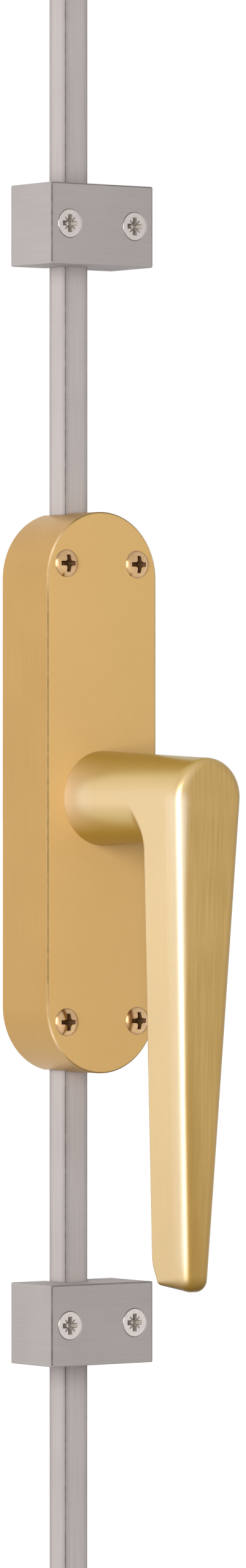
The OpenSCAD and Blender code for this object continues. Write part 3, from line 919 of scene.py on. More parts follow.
@dataclass
class Case:
    """The round-ended brass case: a shell open at the back.

    Attributes:
        width: width across its straight sides.
        height: height from end to end.
        depth: depth from the door to its front.
        wall: thickness of the side wall.
        front_wall: thickness of the front wall.
        edge: width of the softened front edge.
        edge_steps: facets over that edge.
        screw_x: distance of a screw from the middle.
        screw_z: height of a screw above the middle.
        hole: radius of a screw hole's sink and of the hole.
        axis_z: height of the lever's axis.
        bush: radius and length of the cut for the front bush.
        notch: width and depth of the openings for the rods.
        sides: facets round a full turn.
        fade: length over which the painted dark line of the straight edge fades out.
        line: slope of the edge, in degrees, at which its painted line is full, and the reach of the line's
            fall.
        line_top: height of the line's fall, which is held at 1.
        meet: strength of the painted highlight where the straight edge meets the round end.
        best: degrees round the end at which the painted highlight on the edge is strongest, and the reach of
            that highlight.
    """

    width: float = 38.5
    height: float = 162.0
    depth: float = 22.4
    wall: float = 2.5
    front_wall: float = 3.0
    edge: float = 0.5
    edge_steps: int = 4
    screw_x: float = 12.5
    screw_z: float = 66.0
    hole: Pair = (4.05, 2.3)
    axis_z: float = -1.6
    bush: Pair = (9.65, 5.0)
    notch: Pair = (9.0, 10.2)
    sides: int = 192
    fade: float = 9.0
    line: Pair = (45.0, 30.0)
    line_top: float = 1.6
    meet: float = 0.45
    best: Pair = (25.0, 34.0)

    @property
    def straight(self) -> float:
        """Half the length of the straight sides."""
        return (self.height - self.width) / 2

    def screw_places(self) -> list[Triple]:
        """Middles of the screws' rims on the case's front."""
        x, z = self.screw_x, self.screw_z
        return [(x * side, -self.depth, z * end) for side in (-1, 1) for end in (1, -1)]

    def build(self) -> Obj:
        """Models the shell.

        Returns:
            The shell.
        """
        radius = self.width / 2
        cover = Bench.bar("case_cover_shell", (radius, -self.depth), (radius, 0.0), self.sides)
        with Bench.opened(cover, Pick.VERTS):
            for way in (1, -1):
                Bench.choose(cover, Pick.VERTS, lambda v, way=way: v.co.z * way > 0)
                Bench.move((0, 0, way * self.straight))
            Bench.choose(cover, Pick.FACES, lambda f: f.normal.y > SQUARE)
            bpy.ops.mesh.inset(thickness=self.wall * MM)
            Bench.draw_out((0, self.front_wall - self.depth, 0))
        front = (CLOSE - self.depth) * MM
        Bench.round_edges(cover, self.edge, self.edge_steps, lambda e: all(v.co.y < front for v in e.verts))
        level = self.straight - self.fade
        Bench.split(cover, [Vector((0, 0, level)), Vector((0, 0, -level))], Vector((0, 0, 1)))
        self._pierce(cover)
        Bench.close(cover)
        Bench.shade(cover)
        self._mark(cover)
        dress(cover, [SATIN_BRASS, SATIN_BRASS_SHADED_SIDE], "case", "case_cover")
        # The side wall's faces take the darker copy, painted shade.
        upright = 0.2
        behind = (self.edge - self.depth) * MM
        Bench.paint(cover, 1, lambda f: abs(f.normal.y) < upright and f.center.y > behind)
        return cover

    def _pierce(self, cover: Obj) -> None:
        """Cuts the screw holes, the bush's hole and the rods' openings.

        Args:
            cover: the shell.
        """
        for place in self.screw_places():
            Bench.sink_hole(cover, place, self.hole, self.depth)
        radius, length = self.bush
        bush = Bench.bar("bush_hole", (radius, -self.depth - PAST), (radius, -self.depth + length), FINE)
        Bench.combine(cover, Bench.shift(bush, (0, 0, self.axis_z)), Combine.CUT)
        half, deep = self.notch[0] / 2, self.notch[1]
        reach = self.height / 2 + PAST
        slot = Bench.block("rod_openings", (-half, -deep, -reach), (half, PAST, reach))
        Bench.combine(cover, slot, Combine.CUT)

    def _mark(self, cover: Obj) -> None:
        """Paints light and shade on the front edge: a dark line along the straight sides and over the ends, a
        highlight where they meet.

        Args:
            cover: the shell.
        """
        rim = 0.01
        crest, reach = self.line
        dark, pale = [], []
        for vertex in cover.data.vertices:
            slope = math.degrees(math.acos(min(abs(vertex.normal.y), 1.0)))
            inward = (self.depth + vertex.co.y / MM) / self.edge
            line = min(1.0, self.line_top - abs(slope - crest) / reach) * (rim < inward < 1 - rim)
            painted_shine = self._painted_shine(vertex.co)
            dark.append(line * (1 - painted_shine))
            pale.append(line * painted_shine)
        # edge holds the painted dark line, pale the painted highlight.
        Bench.write(cover, "edge", dark)
        Bench.write(cover, "pale", pale)

    def _painted_shine(self, place: Vector) -> float:
        """How much painted highlight the front edge has at a place: most where the straight side runs into
        the round end.

        Args:
            place: a place on the edge, in metres.

        Returns:
            The share, 0 to 1.
        """
        past = abs(place.z) / MM - self.straight
        if past <= 0:
            return self.meet * max(0.0, 1 + past / self.fade)
        turn = math.degrees(math.atan2(past, abs(place.x) / MM))
        best, reach = self.best
        return max(self.meet * (turn < best), 1 - abs(turn - best) / reach)


@dataclass(frozen=True)
class Tones:
    """Where the lever's tones lie: its painted highlight, painted light and painted shade, and its brushing.
    A pair is the place where a tone starts and the place where it is full.

    Attributes:
        view: degrees round to the left from which the painted highlight on the edge was measured.
        across: strength of the painted highlight on the left edge over the distance across it.
        width: stretch of that distance over the distance below the axis.
        shift: place of the painted highlight's middle over the distance below the axis.
        highlight_depth: how far in from the front the painted highlight can reach.
        highlight_end: heights above the blade's end for the painted highlight.
        highlight_top: distances below the axis for the painted highlight.
        highlight_lead_top: the same for the painted light that leads up to it.
        lead: strength of that painted light.
        end: height of the blade's end, where other rules hold.
        side: parts of the normal along Y for the painted light on the sides.
        end_side: parts of the normal along X for the painted light at the end.
        fade: distances below the axis over which the painted light on the sides fades.
        fade_share: how much of it fades.
        deep: part of the normal along Z where the painted shade on faces that look up or down starts, then
            where it is full below and above.
        shade: distances below the axis for the front's shade.
        beside: distances from the left edge for the shade beside it.
        beside_top: distances below the axis for that shade.
        shares: strength of the front's shade and of the one beside the edge.
        turn: turns to the side, in degrees, for both shades.
        under: parts of the normal along Z for the shade under the end.
        end_shade: height of the painted shade over the end at its back, and what is added towards the front.
        end_shade_gain: steepness of that painted shade.
        calm: distances below the axis for calm brushing on the hub.
        foot: heights above the hub's foot for the painted light that offsets its shadow.
        foot_share: strength of that tone.
        facing: parts of the normal along Y for brushing along the blade's front.
        off_front: how much finer the brushing is off the front.
    """

    view: float = 36.0
    across: Profile = (
        (-3.7, 0.0), (-1.5, 0.25), (-0.85, 0.55), (-0.2, 1.0), (0.35, 1.0), (1.1, 0.12), (1.6, 0.0),
    )
    width: Profile = ((0.0, 2.3), (26.0, 1.35), (87.0, 1.0), (113.0, 0.9))
    shift: Profile = ((0.0, -0.2), (26.0, -0.4), (52.0, -0.65), (87.0, -1.0), (113.0, -0.95))
    highlight_depth: float = 6.0
    highlight_end: Pair = (2.0, 11.0)
    highlight_top: Pair = (-2.6, 1.0)
    highlight_lead_top: Pair = (-11.0, -6.0)
    lead: float = 0.8
    end: float = 8.0
    side: Pair = (0.75, 0.45)
    end_side: Pair = (0.68, 1.0)
    fade: Pair = (25.0, 115.0)
    fade_share: float = 0.2
    deep: Triple = (0.1, 0.76, 0.9)
    shade: Pair = (55.0, 130.0)
    beside: Pair = (6.9, 2.4)
    beside_top: Pair = (45.0, 85.0)
    shares: Pair = (0.35, 0.4)
    turn: Pair = (34.0, 22.0)
    under: Pair = (0.1, 0.5)
    end_shade: Pair = (0.9, 4.0)
    end_shade_gain: float = 1.3
    calm: Pair = (13.0, 8.0)
    foot: Pair = (13.0, 0.0)
    foot_share: float = 0.7
    facing: Pair = (0.6, 0.8)
    off_front: float = 2.4


@dataclass
class Lever:
    """The brass lever: a round hub that runs into a hanging, tapering blade.

    Attributes:
        hub_r: radius of the hub at the case.
        top_r: radius of the blade's round top at its front.
        base: depth of the hub's foot, from the door.
        front: depth of the blade's front at the axis.
        thickness: depth of the blade from front to back.
        length: length of the blade below the axis.
        tip_w: width of the blade's end.
        lean: lean of the blade towards the door, in degrees.
        front_edge: radius of the blade's front edges.
        back_edge: radius of the blade's back edges.
        foot: depth of the rim round the hub's foot, which hides its washer.
        recess: radius and depth of the foot's recess for the washer.
        tip_rise: rise of the blade's end from front to back.
        tip_corners: radius of the end's corners at the front and at the back.
        clip_h: height of the slope at the back of the end.
        clip_d: depth of that slope.
        fillet: radius of the hollow under the hub.
        axis_z: height of the lever's axis.
        spigot_r: radius of the spigot behind the hub.
        spigot_end: depth of the spigot's end.
        groove: start depth, end depth and radius of the retaining ring's groove.
        grub: radius, depth from the door and bottom of the grub screw's hole below the axis.
        overlap: how far the spigot reaches into the hub.
        facet: size of the surface's facets.
        spare: extra length at the hub's foot that is faced off.
        smooth: edges sharper than this many degrees stay sharp.
        rounds: pulls onto the form at first, rounds of evening out, pulls in each, and pulls at last.
        tones: where the finish's tones lie: painted highlight, painted light, painted shade and brushing.
    """

    hub_r: float = 13.6
    top_r: float = 11.5
    base: float = 22.8
    front: float = 74.9
    thickness: float = 16.7
    length: float = 140.8
    tip_w: float = 8.5
    lean: float = 2.5
    front_edge: float = 2.8
    back_edge: float = 1.2
    foot: float = 22.45
    recess: Pair = (12.4, 22.8)
    tip_rise: float = 1.5
    tip_corners: Pair = (3.9, 0.7)
    clip_h: float = 6.0
    clip_d: float = 2.7
    fillet: float = 6.5
    axis_z: float = -1.6
    spigot_r: float = 8.0
    spigot_end: float = 15.5
    groove: Triple = (16.45, 17.55, 7.4)
    grub: Triple = (2.55, 30.4, 4.0)
    overlap: float = 1.0
    facet: float = 0.55
    spare: float = 3.0
    smooth: float = 40.0
    rounds: tuple[int, int, int, int] = (8, 10, 2, 4)
    tones: Tones = Tones()

    def build(self) -> Obj:
        """Models the lever: a drawn-out blank, its softened form, then its spigot and grub hole.

        Returns:
            The lever.
        """
        lever = self._blank()
        Bench.apply(lever, "REMESH", mode="VOXEL", voxel_size=self.facet * MM)
        self._soften(lever)
        self._clear_specks(lever)
        self._face_foot(lever)
        self._add_spigot(lever)
        Bench.take(lever)
        bpy.ops.object.shade_smooth_by_angle(angle=math.radians(self.smooth))
        self._mark(lever)
        dress(lever, [BRUSHED_BRASS], "lever", "lever")
        return lever

    def _blank(self) -> Obj:
        """Draws the blade out of the lower half of a tapered bar's front ring.

        Returns:
            The blank, close to the finished form.
        """
        back = (self.thickness - self.front) * MM
        axis = self.axis_z * MM
        flank = 0.5
        sway = self.length * math.sin(math.radians(self.lean))
        top, foot = (self.top_r, -self.front), (self.hub_r, self.spare - self.base)
        blank = Bench.shift(Bench.bar("lever_grip", top, foot, MIDDLE), (0, 0, self.axis_z))
        Bench.split(blank, [Vector((0, self.thickness - self.front, 0))], Vector((0, 1, 0)))

        def lower_front(face: bmesh.types.BMFace) -> bool:
            """Whether a face is on the lower half of the front ring."""
            middle = face.calc_center_median()
            return middle.y < back and abs(face.normal.y) < flank and middle.z < axis

        with Bench.opened(blank, Pick.FACES):
            Bench.choose(blank, Pick.FACES, lower_front)
            Bench.draw_out((0, sway, -self.length))
            Bench.scale((self.tip_w / 2 / self.top_r, 1, 0), (0, 0, self.axis_z - self.length))
        Bench.close(blank)
        return blank

    @staticmethod
    def _rounded(walls: Sequence[np.ndarray], radius: float | np.ndarray) -> np.ndarray:
        """Distance to the space inside several walls, with its edges rounded.

        Args:
            walls: distance outside each wall.
            radius: radius of the edges, one for all or one for each point.

        Returns:
            The distance, negative inside.
        """
        raised = np.stack(walls) + radius
        return np.minimum(raised.max(0), 0) + np.linalg.norm(np.maximum(raised, 0), axis=0) - radius

    def _distance(self, points: np.ndarray) -> np.ndarray:
        """Distance of points from the finished form.

        Args:
            points: places, one row each.

        Returns:
            Distances, negative inside.
        """
        x = np.abs(points[:, 0])
        depth = -points[:, 1]
        z = points[:, 2] - self.axis_z
        lean = math.radians(self.lean)
        inward = (self.front - depth) * math.cos(lean) + z * math.sin(lean)
        up = z * math.cos(lean) - (self.front - depth) * math.sin(lean)
        radius = self.hub_r + (self.top_r - self.hub_r) * (depth - self.base) / (self.front - self.base)
        hub = np.hypot(x, z) - radius

        sine = (radius - self.tip_w / 2) / self.length
        cosine = np.sqrt(1 - sine**2)
        outline = np.where(x * sine + z * cosine > 0, hub, x * cosine - z * sine - radius)
        flat_d = self.thickness - self.clip_d
        slope = math.hypot(flat_d, self.tip_rise)
        end = (inward * self.tip_rise - (up + self.length) * flat_d) / slope
        clip_l = math.hypot(self.clip_d, self.clip_h)
        clip = ((inward - flat_d) * self.clip_h - (up + self.length - self.tip_rise) * self.clip_d) / clip_l
        behind = inward - self.thickness
        core = np.maximum(self.fillet, np.minimum(hub, behind)) - np.hypot(
            np.maximum(self.fillet - hub, 0), np.maximum(self.fillet - behind, 0)
        )
        below = np.clip(-z / self.hub_r, 0, 1)
        edge = self.back_edge * below**2 * (3 - 2 * below)
        corner, back_corner = self.tip_corners
        corner = corner + (back_corner - corner) * np.clip(inward / flat_d, 0, 1)
        walls = self._rounded([outline, end], corner)
        front_half = self._rounded([walls, -inward], self.front_edge)
        back_half = self._rounded([walls, core, clip], edge)
        return np.maximum(np.maximum(front_half, back_half), self.base - self.spare - depth)

    def _pull(self, points: np.ndarray, rounds: int) -> np.ndarray:
        """Pulls points onto the finished form along its slope.

        Args:
            points: places, one row each.
            rounds: number of steps.

        Returns:
            The places on the form.
        """
        probe, longest, least_slope = 0.01, 0.8, 0.2
        for _ in range(rounds):
            value = self._distance(points)
            slope = np.stack(
                [(self._distance(points + step) - self._distance(points - step)) / (2 * probe)
                 for step in np.eye(3) * probe],
                axis=1,
            )
            share = value / np.maximum((slope**2).sum(1), least_slope)
            points = points - np.clip(share, -longest, longest)[:, None] * slope
        return points

    def _soften(self, lever: Obj) -> None:
        """Settles the remeshed blank onto the finished form, with evenly spread facets.

        Args:
            lever: the remeshed blank.
        """
        mesh = lever.data
        first_pulls, evenings, pulls, last_pulls = self.rounds
        points = Bench.read(mesh.vertices, "co", 3) / MM
        first, second = Bench.read(mesh.edges, "vertices", 2, np.int32).T
        count = np.bincount(np.concatenate([first, second]), minlength=len(points))[:, None]
        points = self._pull(points, first_pulls)
        for _ in range(evenings):
            total = np.zeros_like(points)
            np.add.at(total, first, points[second])
            np.add.at(total, second, points[first])
            points = self._pull((points + total / count) / 2, pulls)
        points = self._pull(points, last_pulls)
        mesh.vertices.foreach_set("co", (points * MM).ravel())
        mesh.update()

    @staticmethod
    def _clear_specks(lever: Obj) -> None:
        """Deletes the specks that remeshing leaves beside the lever's body.

        Args:
            lever: the softened lever.
        """
        lowest = min(vertex.co.z for vertex in lever.data.vertices)
        with Bench.opened(lever, Pick.VERTS):
            Bench.choose(lever, Pick.VERTS, lambda v: v.co.z <= lowest)
            bpy.ops.mesh.select_linked()
            bpy.ops.mesh.select_all(action="INVERT")
            bpy.ops.mesh.delete(type="VERT")

    def _face_foot(self, lever: Obj) -> None:
        """Faces the hub's foot off flat and sinks the recess that its washer lies in.

        Args:
            lever: the softened lever.
        """
        wide = 2 * self.hub_r
        block = Bench.block("foot_cut", (-wide, -self.foot, -wide), (wide, 0.0, wide))
        Bench.combine(lever, block, Combine.CUT)
        radius, depth = self.recess
        sink = Bench.bar("washer_recess", (radius, -depth), (radius, 0.0), FINE)
        Bench.combine(lever, Bench.shift(sink, (0, 0, self.axis_z)), Combine.CUT)

    def _add_spigot(self, lever: Obj) -> None:
        """Joins the grooved spigot to the hub and drills the grub screw's hole.

        Args:
            lever: the softened lever.
        """
        start, end, neck = self.groove
        wide = self.spigot_r
        steps = [
            (wide, -self.base - self.overlap), (wide, -end), (neck, -end),
            (neck, -start), (wide, -start), (wide, -self.spigot_end),
        ]
        spigot = Bench.turned("lever_spigot", steps, MIDDLE)
        Bench.combine(lever, Bench.shift(spigot, (0, 0, self.axis_z)), Combine.JOIN)
        radius, depth, top = self.grub
        drill = Bench.bar("grub_hole", (radius, top), (radius, self.hub_r + self.overlap), COARSE)
        place = Matrix.Translation((0, -depth * MM, self.axis_z * MM))
        drill.data.transform(place @ Matrix.Rotation(-math.pi / 2, 4, "Z"))
        Bench.combine(lever, drill, Combine.CUT)

    def _mark(self, lever: Obj) -> None:
        """Writes the attributes of the finish: its tones of painted light and shade, and the way of the
        brushing.

        Args:
            lever: the lever.
        """
        mesh = lever.data
        normals = Bench.read(mesh.vertices, "normal", 3)
        places = Bench.read(mesh.vertices, "co", 3)
        for name, values in self._marks(places / MM, normals).items():
            Bench.write(lever, name, values)
        facing = ramp(np.abs(normals[:, 1]), *self.tones.facing)
        flow = places * np.stack([facing, self.tones.off_front * (1 - facing), np.ones_like(facing)], axis=1)
        brushing = mesh.attributes.new(BRUSHED_BRASS.flow, "FLOAT_VECTOR", "POINT")
        brushing.data.foreach_set("vector", flow.astype(np.float32).ravel())

    def _marks(self, places: np.ndarray, normals: np.ndarray) -> dict[str, np.ndarray]:
        """Works out how far each tone of the finish covers each point: painted highlight, painted light,
        painted shade and calm brushing.

        Args:
            places: places of the points.
            normals: their normals.

        Returns:
            The share of each tone, 0 to 1, by the name of its attribute.
        """
        tones = self.tones
        out, front, up = np.abs(normals).T
        left = places[:, 0] < 0
        below = self.axis_z - places[:, 2]
        above_tip = self.length - below
        at_end = above_tip < tones.end
        lean = math.radians(self.lean)
        behind = self.front + places[:, 1]
        inward = behind * math.cos(lean) - below * math.sin(lean)
        half = np.where(
            below > 0,
            self.top_r + (self.tip_w / 2 - self.top_r) * np.clip(below / self.length, 0, 1),
            np.sqrt(np.maximum(self.top_r**2 - below**2, 0)),
        )
        from_edge = places[:, 0] + half

        # Painted highlight along the blade's left front edge, and painted light leading up to it over the
        # arch.
        painted_shine = self._painted_edge_highlight(from_edge, inward, below) * ramp(above_tip, *tones.highlight_end) * left
        edge_light_shade_mask = painted_shine * ramp(below, *tones.highlight_top)
        lead = tones.lead * painted_shine * ramp(below, *tones.highlight_lead_top)
        # Painted light on the sides, where the normal turns away from the front.
        side = ramp(front, *tones.side)
        # Painted shade on faces that look up or down, such as the hub's top and underside.
        start, full_below, full_above = tones.deep
        deep = ramp(up, start, np.where(normals[:, 2] < 0, full_below, full_above)) * side * ~at_end
        # The painted light: on the sides, on the end's sides, and leading into the painted highlight.
        pale = np.where(at_end, ramp(out, *tones.end_side), side)
        pale = pale * (1 - tones.fade_share * ramp(below, *tones.fade))
        pale = np.maximum.reduce([pale, lead, np.minimum(2 * edge_light_shade_mask, 1)])

        # Painted shade on the front, darker beside the highlight and towards the end, and under the end.
        beside = ramp(from_edge, *tones.beside) * ramp(below, *tones.beside_top)
        shade = tones.shares[0] * ramp(below, *tones.shade) + tones.shares[1] * beside
        shade *= ramp(np.degrees(np.arctan2(out, front)), *tones.turn) * (inward < self.front_edge)
        shade = np.maximum(shade, at_end * ramp(up, *tones.under))
        # Painted shade rising from the blade's end, higher towards the front.
        rearward = np.clip(inward / (self.thickness - self.clip_d), 0, 1)
        height = above_tip * math.cos(lean) - behind * math.sin(lean) - self.tip_rise * rearward
        reach = tones.end_shade[0] + tones.end_shade[1] * (1 - rearward)
        end_shade = np.clip(tones.end_shade_gain * (1 - height / reach), 0, 1)
        # Painted light near the hub's foot that offsets its shadow, added to the edge attribute.
        foot = ramp(-places[:, 1] - self.base, *tones.foot) * (1 - deep) * left
        edge_light_shade_mask = np.maximum(edge_light_shade_mask, tones.foot_share * foot * side)
        calm = ramp(below, *tones.calm) * side
        return {"edge": edge_light_shade_mask, "pale": pale, "deep": deep, "shade": shade, "calm": calm, "end_shade": end_shade}

    def _painted_edge_highlight(self, from_edge: np.ndarray, inward: np.ndarray, below: np.ndarray) -> np.ndarray:
        """Strength of the painted highlight on the left edge, seen as a line from the front left.

        Args:
            from_edge: distances from the blade's left edge.
            inward: distances in from its front.
            below: distances below the axis.

        Returns:
            The share, 0 to 1.
        """
        tones = self.tones
        cosine, sine = math.cos(math.radians(tones.view)), math.sin(math.radians(tones.view))
        middle = self.front_edge * (cosine - sine) + np.interp(below, *zip(*tones.shift))
        off = (from_edge * cosine - inward * sine - middle) / np.interp(below, *zip(*tones.width))
        return np.interp(off, *zip(*tones.across)) * (inward < tones.highlight_depth)


@dataclass
class Rod:
    """A square sliding rod with a bevelled tip.

    Attributes:
        node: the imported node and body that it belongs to.
        upward: whether the tip is at the top.
        tip_bevel: bevel at the tip.
        edge: width of the softened long edges.
        edge_steps: facets over such an edge.
        sharp: edges sharper than this angle, in radians, are softened.
        shade_w: width of the faint shade beside an edge.
        shade_share: strength of that shade at the edge.
        edge_share: share of the edge's width that is fully dark.
    """

    node: str
    upward: bool
    tip_bevel: float = 1.5
    edge: float = 0.26
    edge_steps: int = 3
    sharp: float = 0.5
    shade_w: float = 1.9
    shade_share: float = 0.3
    edge_share: float = 0.9

    def build(self) -> Obj:
        """Models the rod.

        Returns:
            The rod.
        """
        low, high = (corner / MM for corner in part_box(self.node))
        way = 1 if self.upward else -1
        tip = high if self.upward else low
        tip.z -= way * self.tip_bevel
        rod = Bench.block(f"{self.node}_bar", tuple(low), tuple(high))
        middle = (low + high) / 2
        share = 1 - 2 * self.tip_bevel / (high.x - low.x)
        with Bench.opened(rod, Pick.FACES):
            Bench.choose(rod, Pick.FACES, lambda f: f.normal.z * way > SQUARE)
            Bench.draw_out((0, 0, way * self.tip_bevel))
            Bench.scale((share, share, 1), (middle.x, middle.y, tip.z + way * self.tip_bevel))
        Bench.round_edges(rod, self.edge, self.edge_steps, lambda e: e.calc_face_angle(0) > self.sharp)
        for axis in (Vector((1, 0, 0)), Vector((0, 1, 0))):
            Bench.split(rod, [low + axis * self.shade_w, high - axis * self.shade_w], axis)
        Bench.shade(rod)
        # Painted dark line and shade along the long edges.
        Bench.write(rod, "edge", [self._line(vertex.co / MM, low, high) for vertex in rod.data.vertices])
        dress(rod, [ROD_NICKEL], self.node, self.node)
        return rod

    def _line(self, place: Vector, low: Vector, high: Vector) -> float:
        """How dark the painted line of a long edge is: a full painted dark line on the edge itself and faint
        painted shade beside it.

        Args:
            place: a place on the rod.
            low: the rod's lowest corner.
            high: its highest corner.

        Returns:
            The share, 0 to 1.
        """
        off = max(min(place[i] - low[i], high[i] - place[i]) for i in (0, 1))
        if off < self.edge_share * self.edge:
            return 1.0
        fall = 1 - (off - self.edge) / (self.shade_w - self.edge)
        return self.shade_share * min(max(fall, 0.0), 1.0)


@dataclass
class Guide:
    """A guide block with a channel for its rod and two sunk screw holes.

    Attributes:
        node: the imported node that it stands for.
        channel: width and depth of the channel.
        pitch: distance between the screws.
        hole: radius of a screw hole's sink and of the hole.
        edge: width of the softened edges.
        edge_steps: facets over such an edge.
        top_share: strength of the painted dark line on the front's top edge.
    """

    node: str
    channel: Pair = (8.6, 10.0)
    pitch: float = 23.0
    hole: Pair = (4.3, 2.3)
    edge: float = 0.4
    edge_steps: int = 3
    top_share: float = 0.75

    def screw_places(self) -> list[Triple]:
        """Middles of the screws' rims on the block's front.

        Returns:
            The places, left and right.
        """
        low, high = (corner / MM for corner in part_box(self.node))
        middle = (low + high) / 2
        return [(middle.x + x, low.y, middle.z) for x in (-self.pitch / 2, self.pitch / 2)]

    def build(self) -> Obj:
        """Models the block.

        Returns:
            The block.
        """
        low, high = (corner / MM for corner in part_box(self.node))
        block = Bench.block(f"{self.node}_block", tuple(low), tuple(high))
        Bench.round_edges(block, self.edge, self.edge_steps, lambda e: True)
        half, deep = self.channel[0] / 2, self.channel[1]
        tool = Bench.block("channel", (-half, -deep, low.z - PAST), (half, PAST, high.z + PAST))
        Bench.combine(block, tool, Combine.CUT)
        for place in self.screw_places():
            Bench.sink_hole(block, place, self.hole, high.y - low.y + PAST)
        Bench.close(block)
        Bench.shade(block)
        # Painted dark lines along the block's edges.
        Bench.write(block, "edge", [self._line(face, low, high) for face in block.data.polygons], "FACE")
        dress(block, [BLOCK_NICKEL], "case", self.node)
        return block

    def _line(self, face: Face, low: Vector, high: Vector) -> float:
        """How dark the painted line of a softened edge is: full on upright edges, less on the front's top
        one.

        Args:
            face: a face of the block.
            low: the block's lowest corner.
            high: its highest corner.

        Returns:
            The share, 0 to 1.
        """
        flat, level = 0.99, 0.1
        place, normal = face.center / MM, face.normal
        if max(abs(part) for part in normal) > flat:
            return 0.0
        beside = abs(normal.z) < level and min(place.x - low.x, high.x - place.x) < self.edge
        above = normal.y < -level and high.z - place.z < self.edge
        return 1.0 if beside else self.top_share * above


@dataclass
class DoorScrews:
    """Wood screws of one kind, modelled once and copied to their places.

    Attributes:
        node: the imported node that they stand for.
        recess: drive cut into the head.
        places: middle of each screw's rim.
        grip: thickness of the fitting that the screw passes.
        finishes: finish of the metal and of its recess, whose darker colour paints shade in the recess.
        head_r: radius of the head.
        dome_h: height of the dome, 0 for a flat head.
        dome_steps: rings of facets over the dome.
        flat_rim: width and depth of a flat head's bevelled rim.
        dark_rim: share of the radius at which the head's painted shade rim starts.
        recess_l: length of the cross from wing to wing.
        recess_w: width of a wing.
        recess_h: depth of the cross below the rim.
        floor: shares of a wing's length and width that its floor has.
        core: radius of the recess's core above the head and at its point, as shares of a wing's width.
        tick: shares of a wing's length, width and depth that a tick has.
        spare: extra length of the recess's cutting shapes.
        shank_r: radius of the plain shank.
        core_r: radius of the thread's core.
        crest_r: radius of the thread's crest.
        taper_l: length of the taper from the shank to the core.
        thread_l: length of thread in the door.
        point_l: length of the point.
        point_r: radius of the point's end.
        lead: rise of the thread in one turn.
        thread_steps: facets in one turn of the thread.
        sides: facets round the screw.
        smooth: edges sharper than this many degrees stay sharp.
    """

    node: str
    recess: Recess
    places: list[Triple]
    grip: float
    finishes: tuple[Finish, Finish]
    head_r: float = 4.0
    dome_h: float = 0.0
    dome_steps: int = 14
    flat_rim: float = 0.22
    dark_rim: float = 0.86
    recess_l: float = 5.0
    recess_w: float = 1.25
    recess_h: float = 1.3
    floor: Pair = (0.45, 0.55)
    core: Pair = (1.2, 0.12)
    tick: Triple = (0.92, 0.32, 0.35)
    spare: float = 0.5
    shank_r: float = 2.1
    core_r: float = 1.45
    crest_r: float = 2.05
    taper_l: float = 0.6
    thread_l: float = 8.0
    point_l: float = 3.0
    point_r: float = 0.05
    lead: float = 2.1
    thread_steps: int = 20
    sides: int = 64
    smooth: float = 35.0

    def build(self) -> Obj:
        """Models one screw and copies it.

        Returns:
            All the screws as one piece.
        """
        screw = self._turned_blank()
        Bench.combine(screw, self._cross(), Combine.CUT)
        Bench.close(screw)
        Bench.join([screw, self._thread()])
        Bench.shade(screw, self.smooth)
        # Painted shade round the head's rim.
        Bench.write(screw, "edge", [self._rim(face) for face in screw.data.polygons], "FACE")
        dress(screw, self.finishes, "case", self.node)
        # The recess takes the darker finish: painted shade in the recess.
        Bench.paint(screw, 1, self._in_recess)
        copies = [Bench.copy(screw, f"{self.node}_{i}", place) for i, place in enumerate(self.places)]
        bpy.data.objects.remove(screw)
        made = Bench.join(copies)
        made.name = f"{self.node}_turned"
        return made

    def _top(self, radius: float) -> float:
        """Place along Y of the head's top at a radius.

        Args:
            radius: distance from the screw's axis.

        Returns:
            The place, which is 0 at the rim.
        """
        if self.dome_h == 0:
            return 0.0
        ball_r = (self.head_r**2 + self.dome_h**2) / (2 * self.dome_h)
        return ball_r - self.dome_h - math.sqrt(max(ball_r**2 - radius**2, 0))

    def _turned_blank(self) -> Obj:
        """Turns the head, shank and core.

        Returns:
            The blank, its rim at y = 0.
        """
        head = [(self.head_r - self.flat_rim, 0.0), (self.head_r, self.flat_rim)]
        if self.dome_h:
            radii = [self.head_r * (i + 1) / self.dome_steps for i in range(self.dome_steps)]
            head = [(radius, self._top(radius)) for radius in radii]
        end = self.grip + self.thread_l
        tail = [
            (self.shank_r, self.head_r - self.shank_r), (self.shank_r, self.grip),
            (self.core_r, self.grip + self.taper_l), (self.core_r, end - self.point_l), (self.point_r, end),
        ]
        return Bench.turned(f"{self.node}_blank", head + tail, self.sides)

    def _wing(self, turn: float, shares: Triple = (1.0, 1.0, 1.0)) -> Obj:
        """Makes the cutting shape of a pair of wings, narrowing downwards.

        Args:
            turn: turn about the screw's axis, in degrees.
            shares: shares of the full length, width and depth.

        Returns:
            The cutting shape.
        """
        full = (self.recess_l, self.recess_w, self.recess_h)
        length, width, depth = (size * share for size, share in zip(full, shares))
        above = self.dome_h + self.spare
        deep_length, deep_width = self.floor[0] * length, self.floor[1] * width
        down = (self._top(length / 2) + above) / (above + depth)
        half = (length - deep_length * down) / (1 - down) / 2
        side = (width - deep_width * down) / (1 - down) / 2
        wing = Bench.block("wing", (-side, -above, -half), (side, depth, half))
        with Bench.opened(wing, Pick.FACES):
            Bench.choose(wing, Pick.FACES, lambda f: f.normal.y > SQUARE)
            Bench.scale((deep_width / 2 / side, 1, deep_length / 2 / half), (0, depth, 0))
        wing.data.transform(Matrix.Rotation(math.radians(turn), 4, "Y"))
        return wing

    def _cross(self) -> Obj:
        """Makes the shape that cuts the recess.

        Returns:
            The cutting shape.
        """
        cross = self._wing(0.0)
        Bench.combine(cross, self._wing(90.0), Combine.JOIN)
        wide, narrow = (self.recess_w * share for share in self.core)
        top, point = (wide, -self.dome_h - self.spare), (narrow, self.recess_h + self.spare)
        Bench.combine(cross, Bench.bar("core", top, point, self.sides // 2), Combine.JOIN)
        if self.recess is Recess.TICKED_CROSS:
            for turn in (45.0, 135.0):
                Bench.combine(cross, self._wing(turn, self.tick), Combine.JOIN)
        return cross

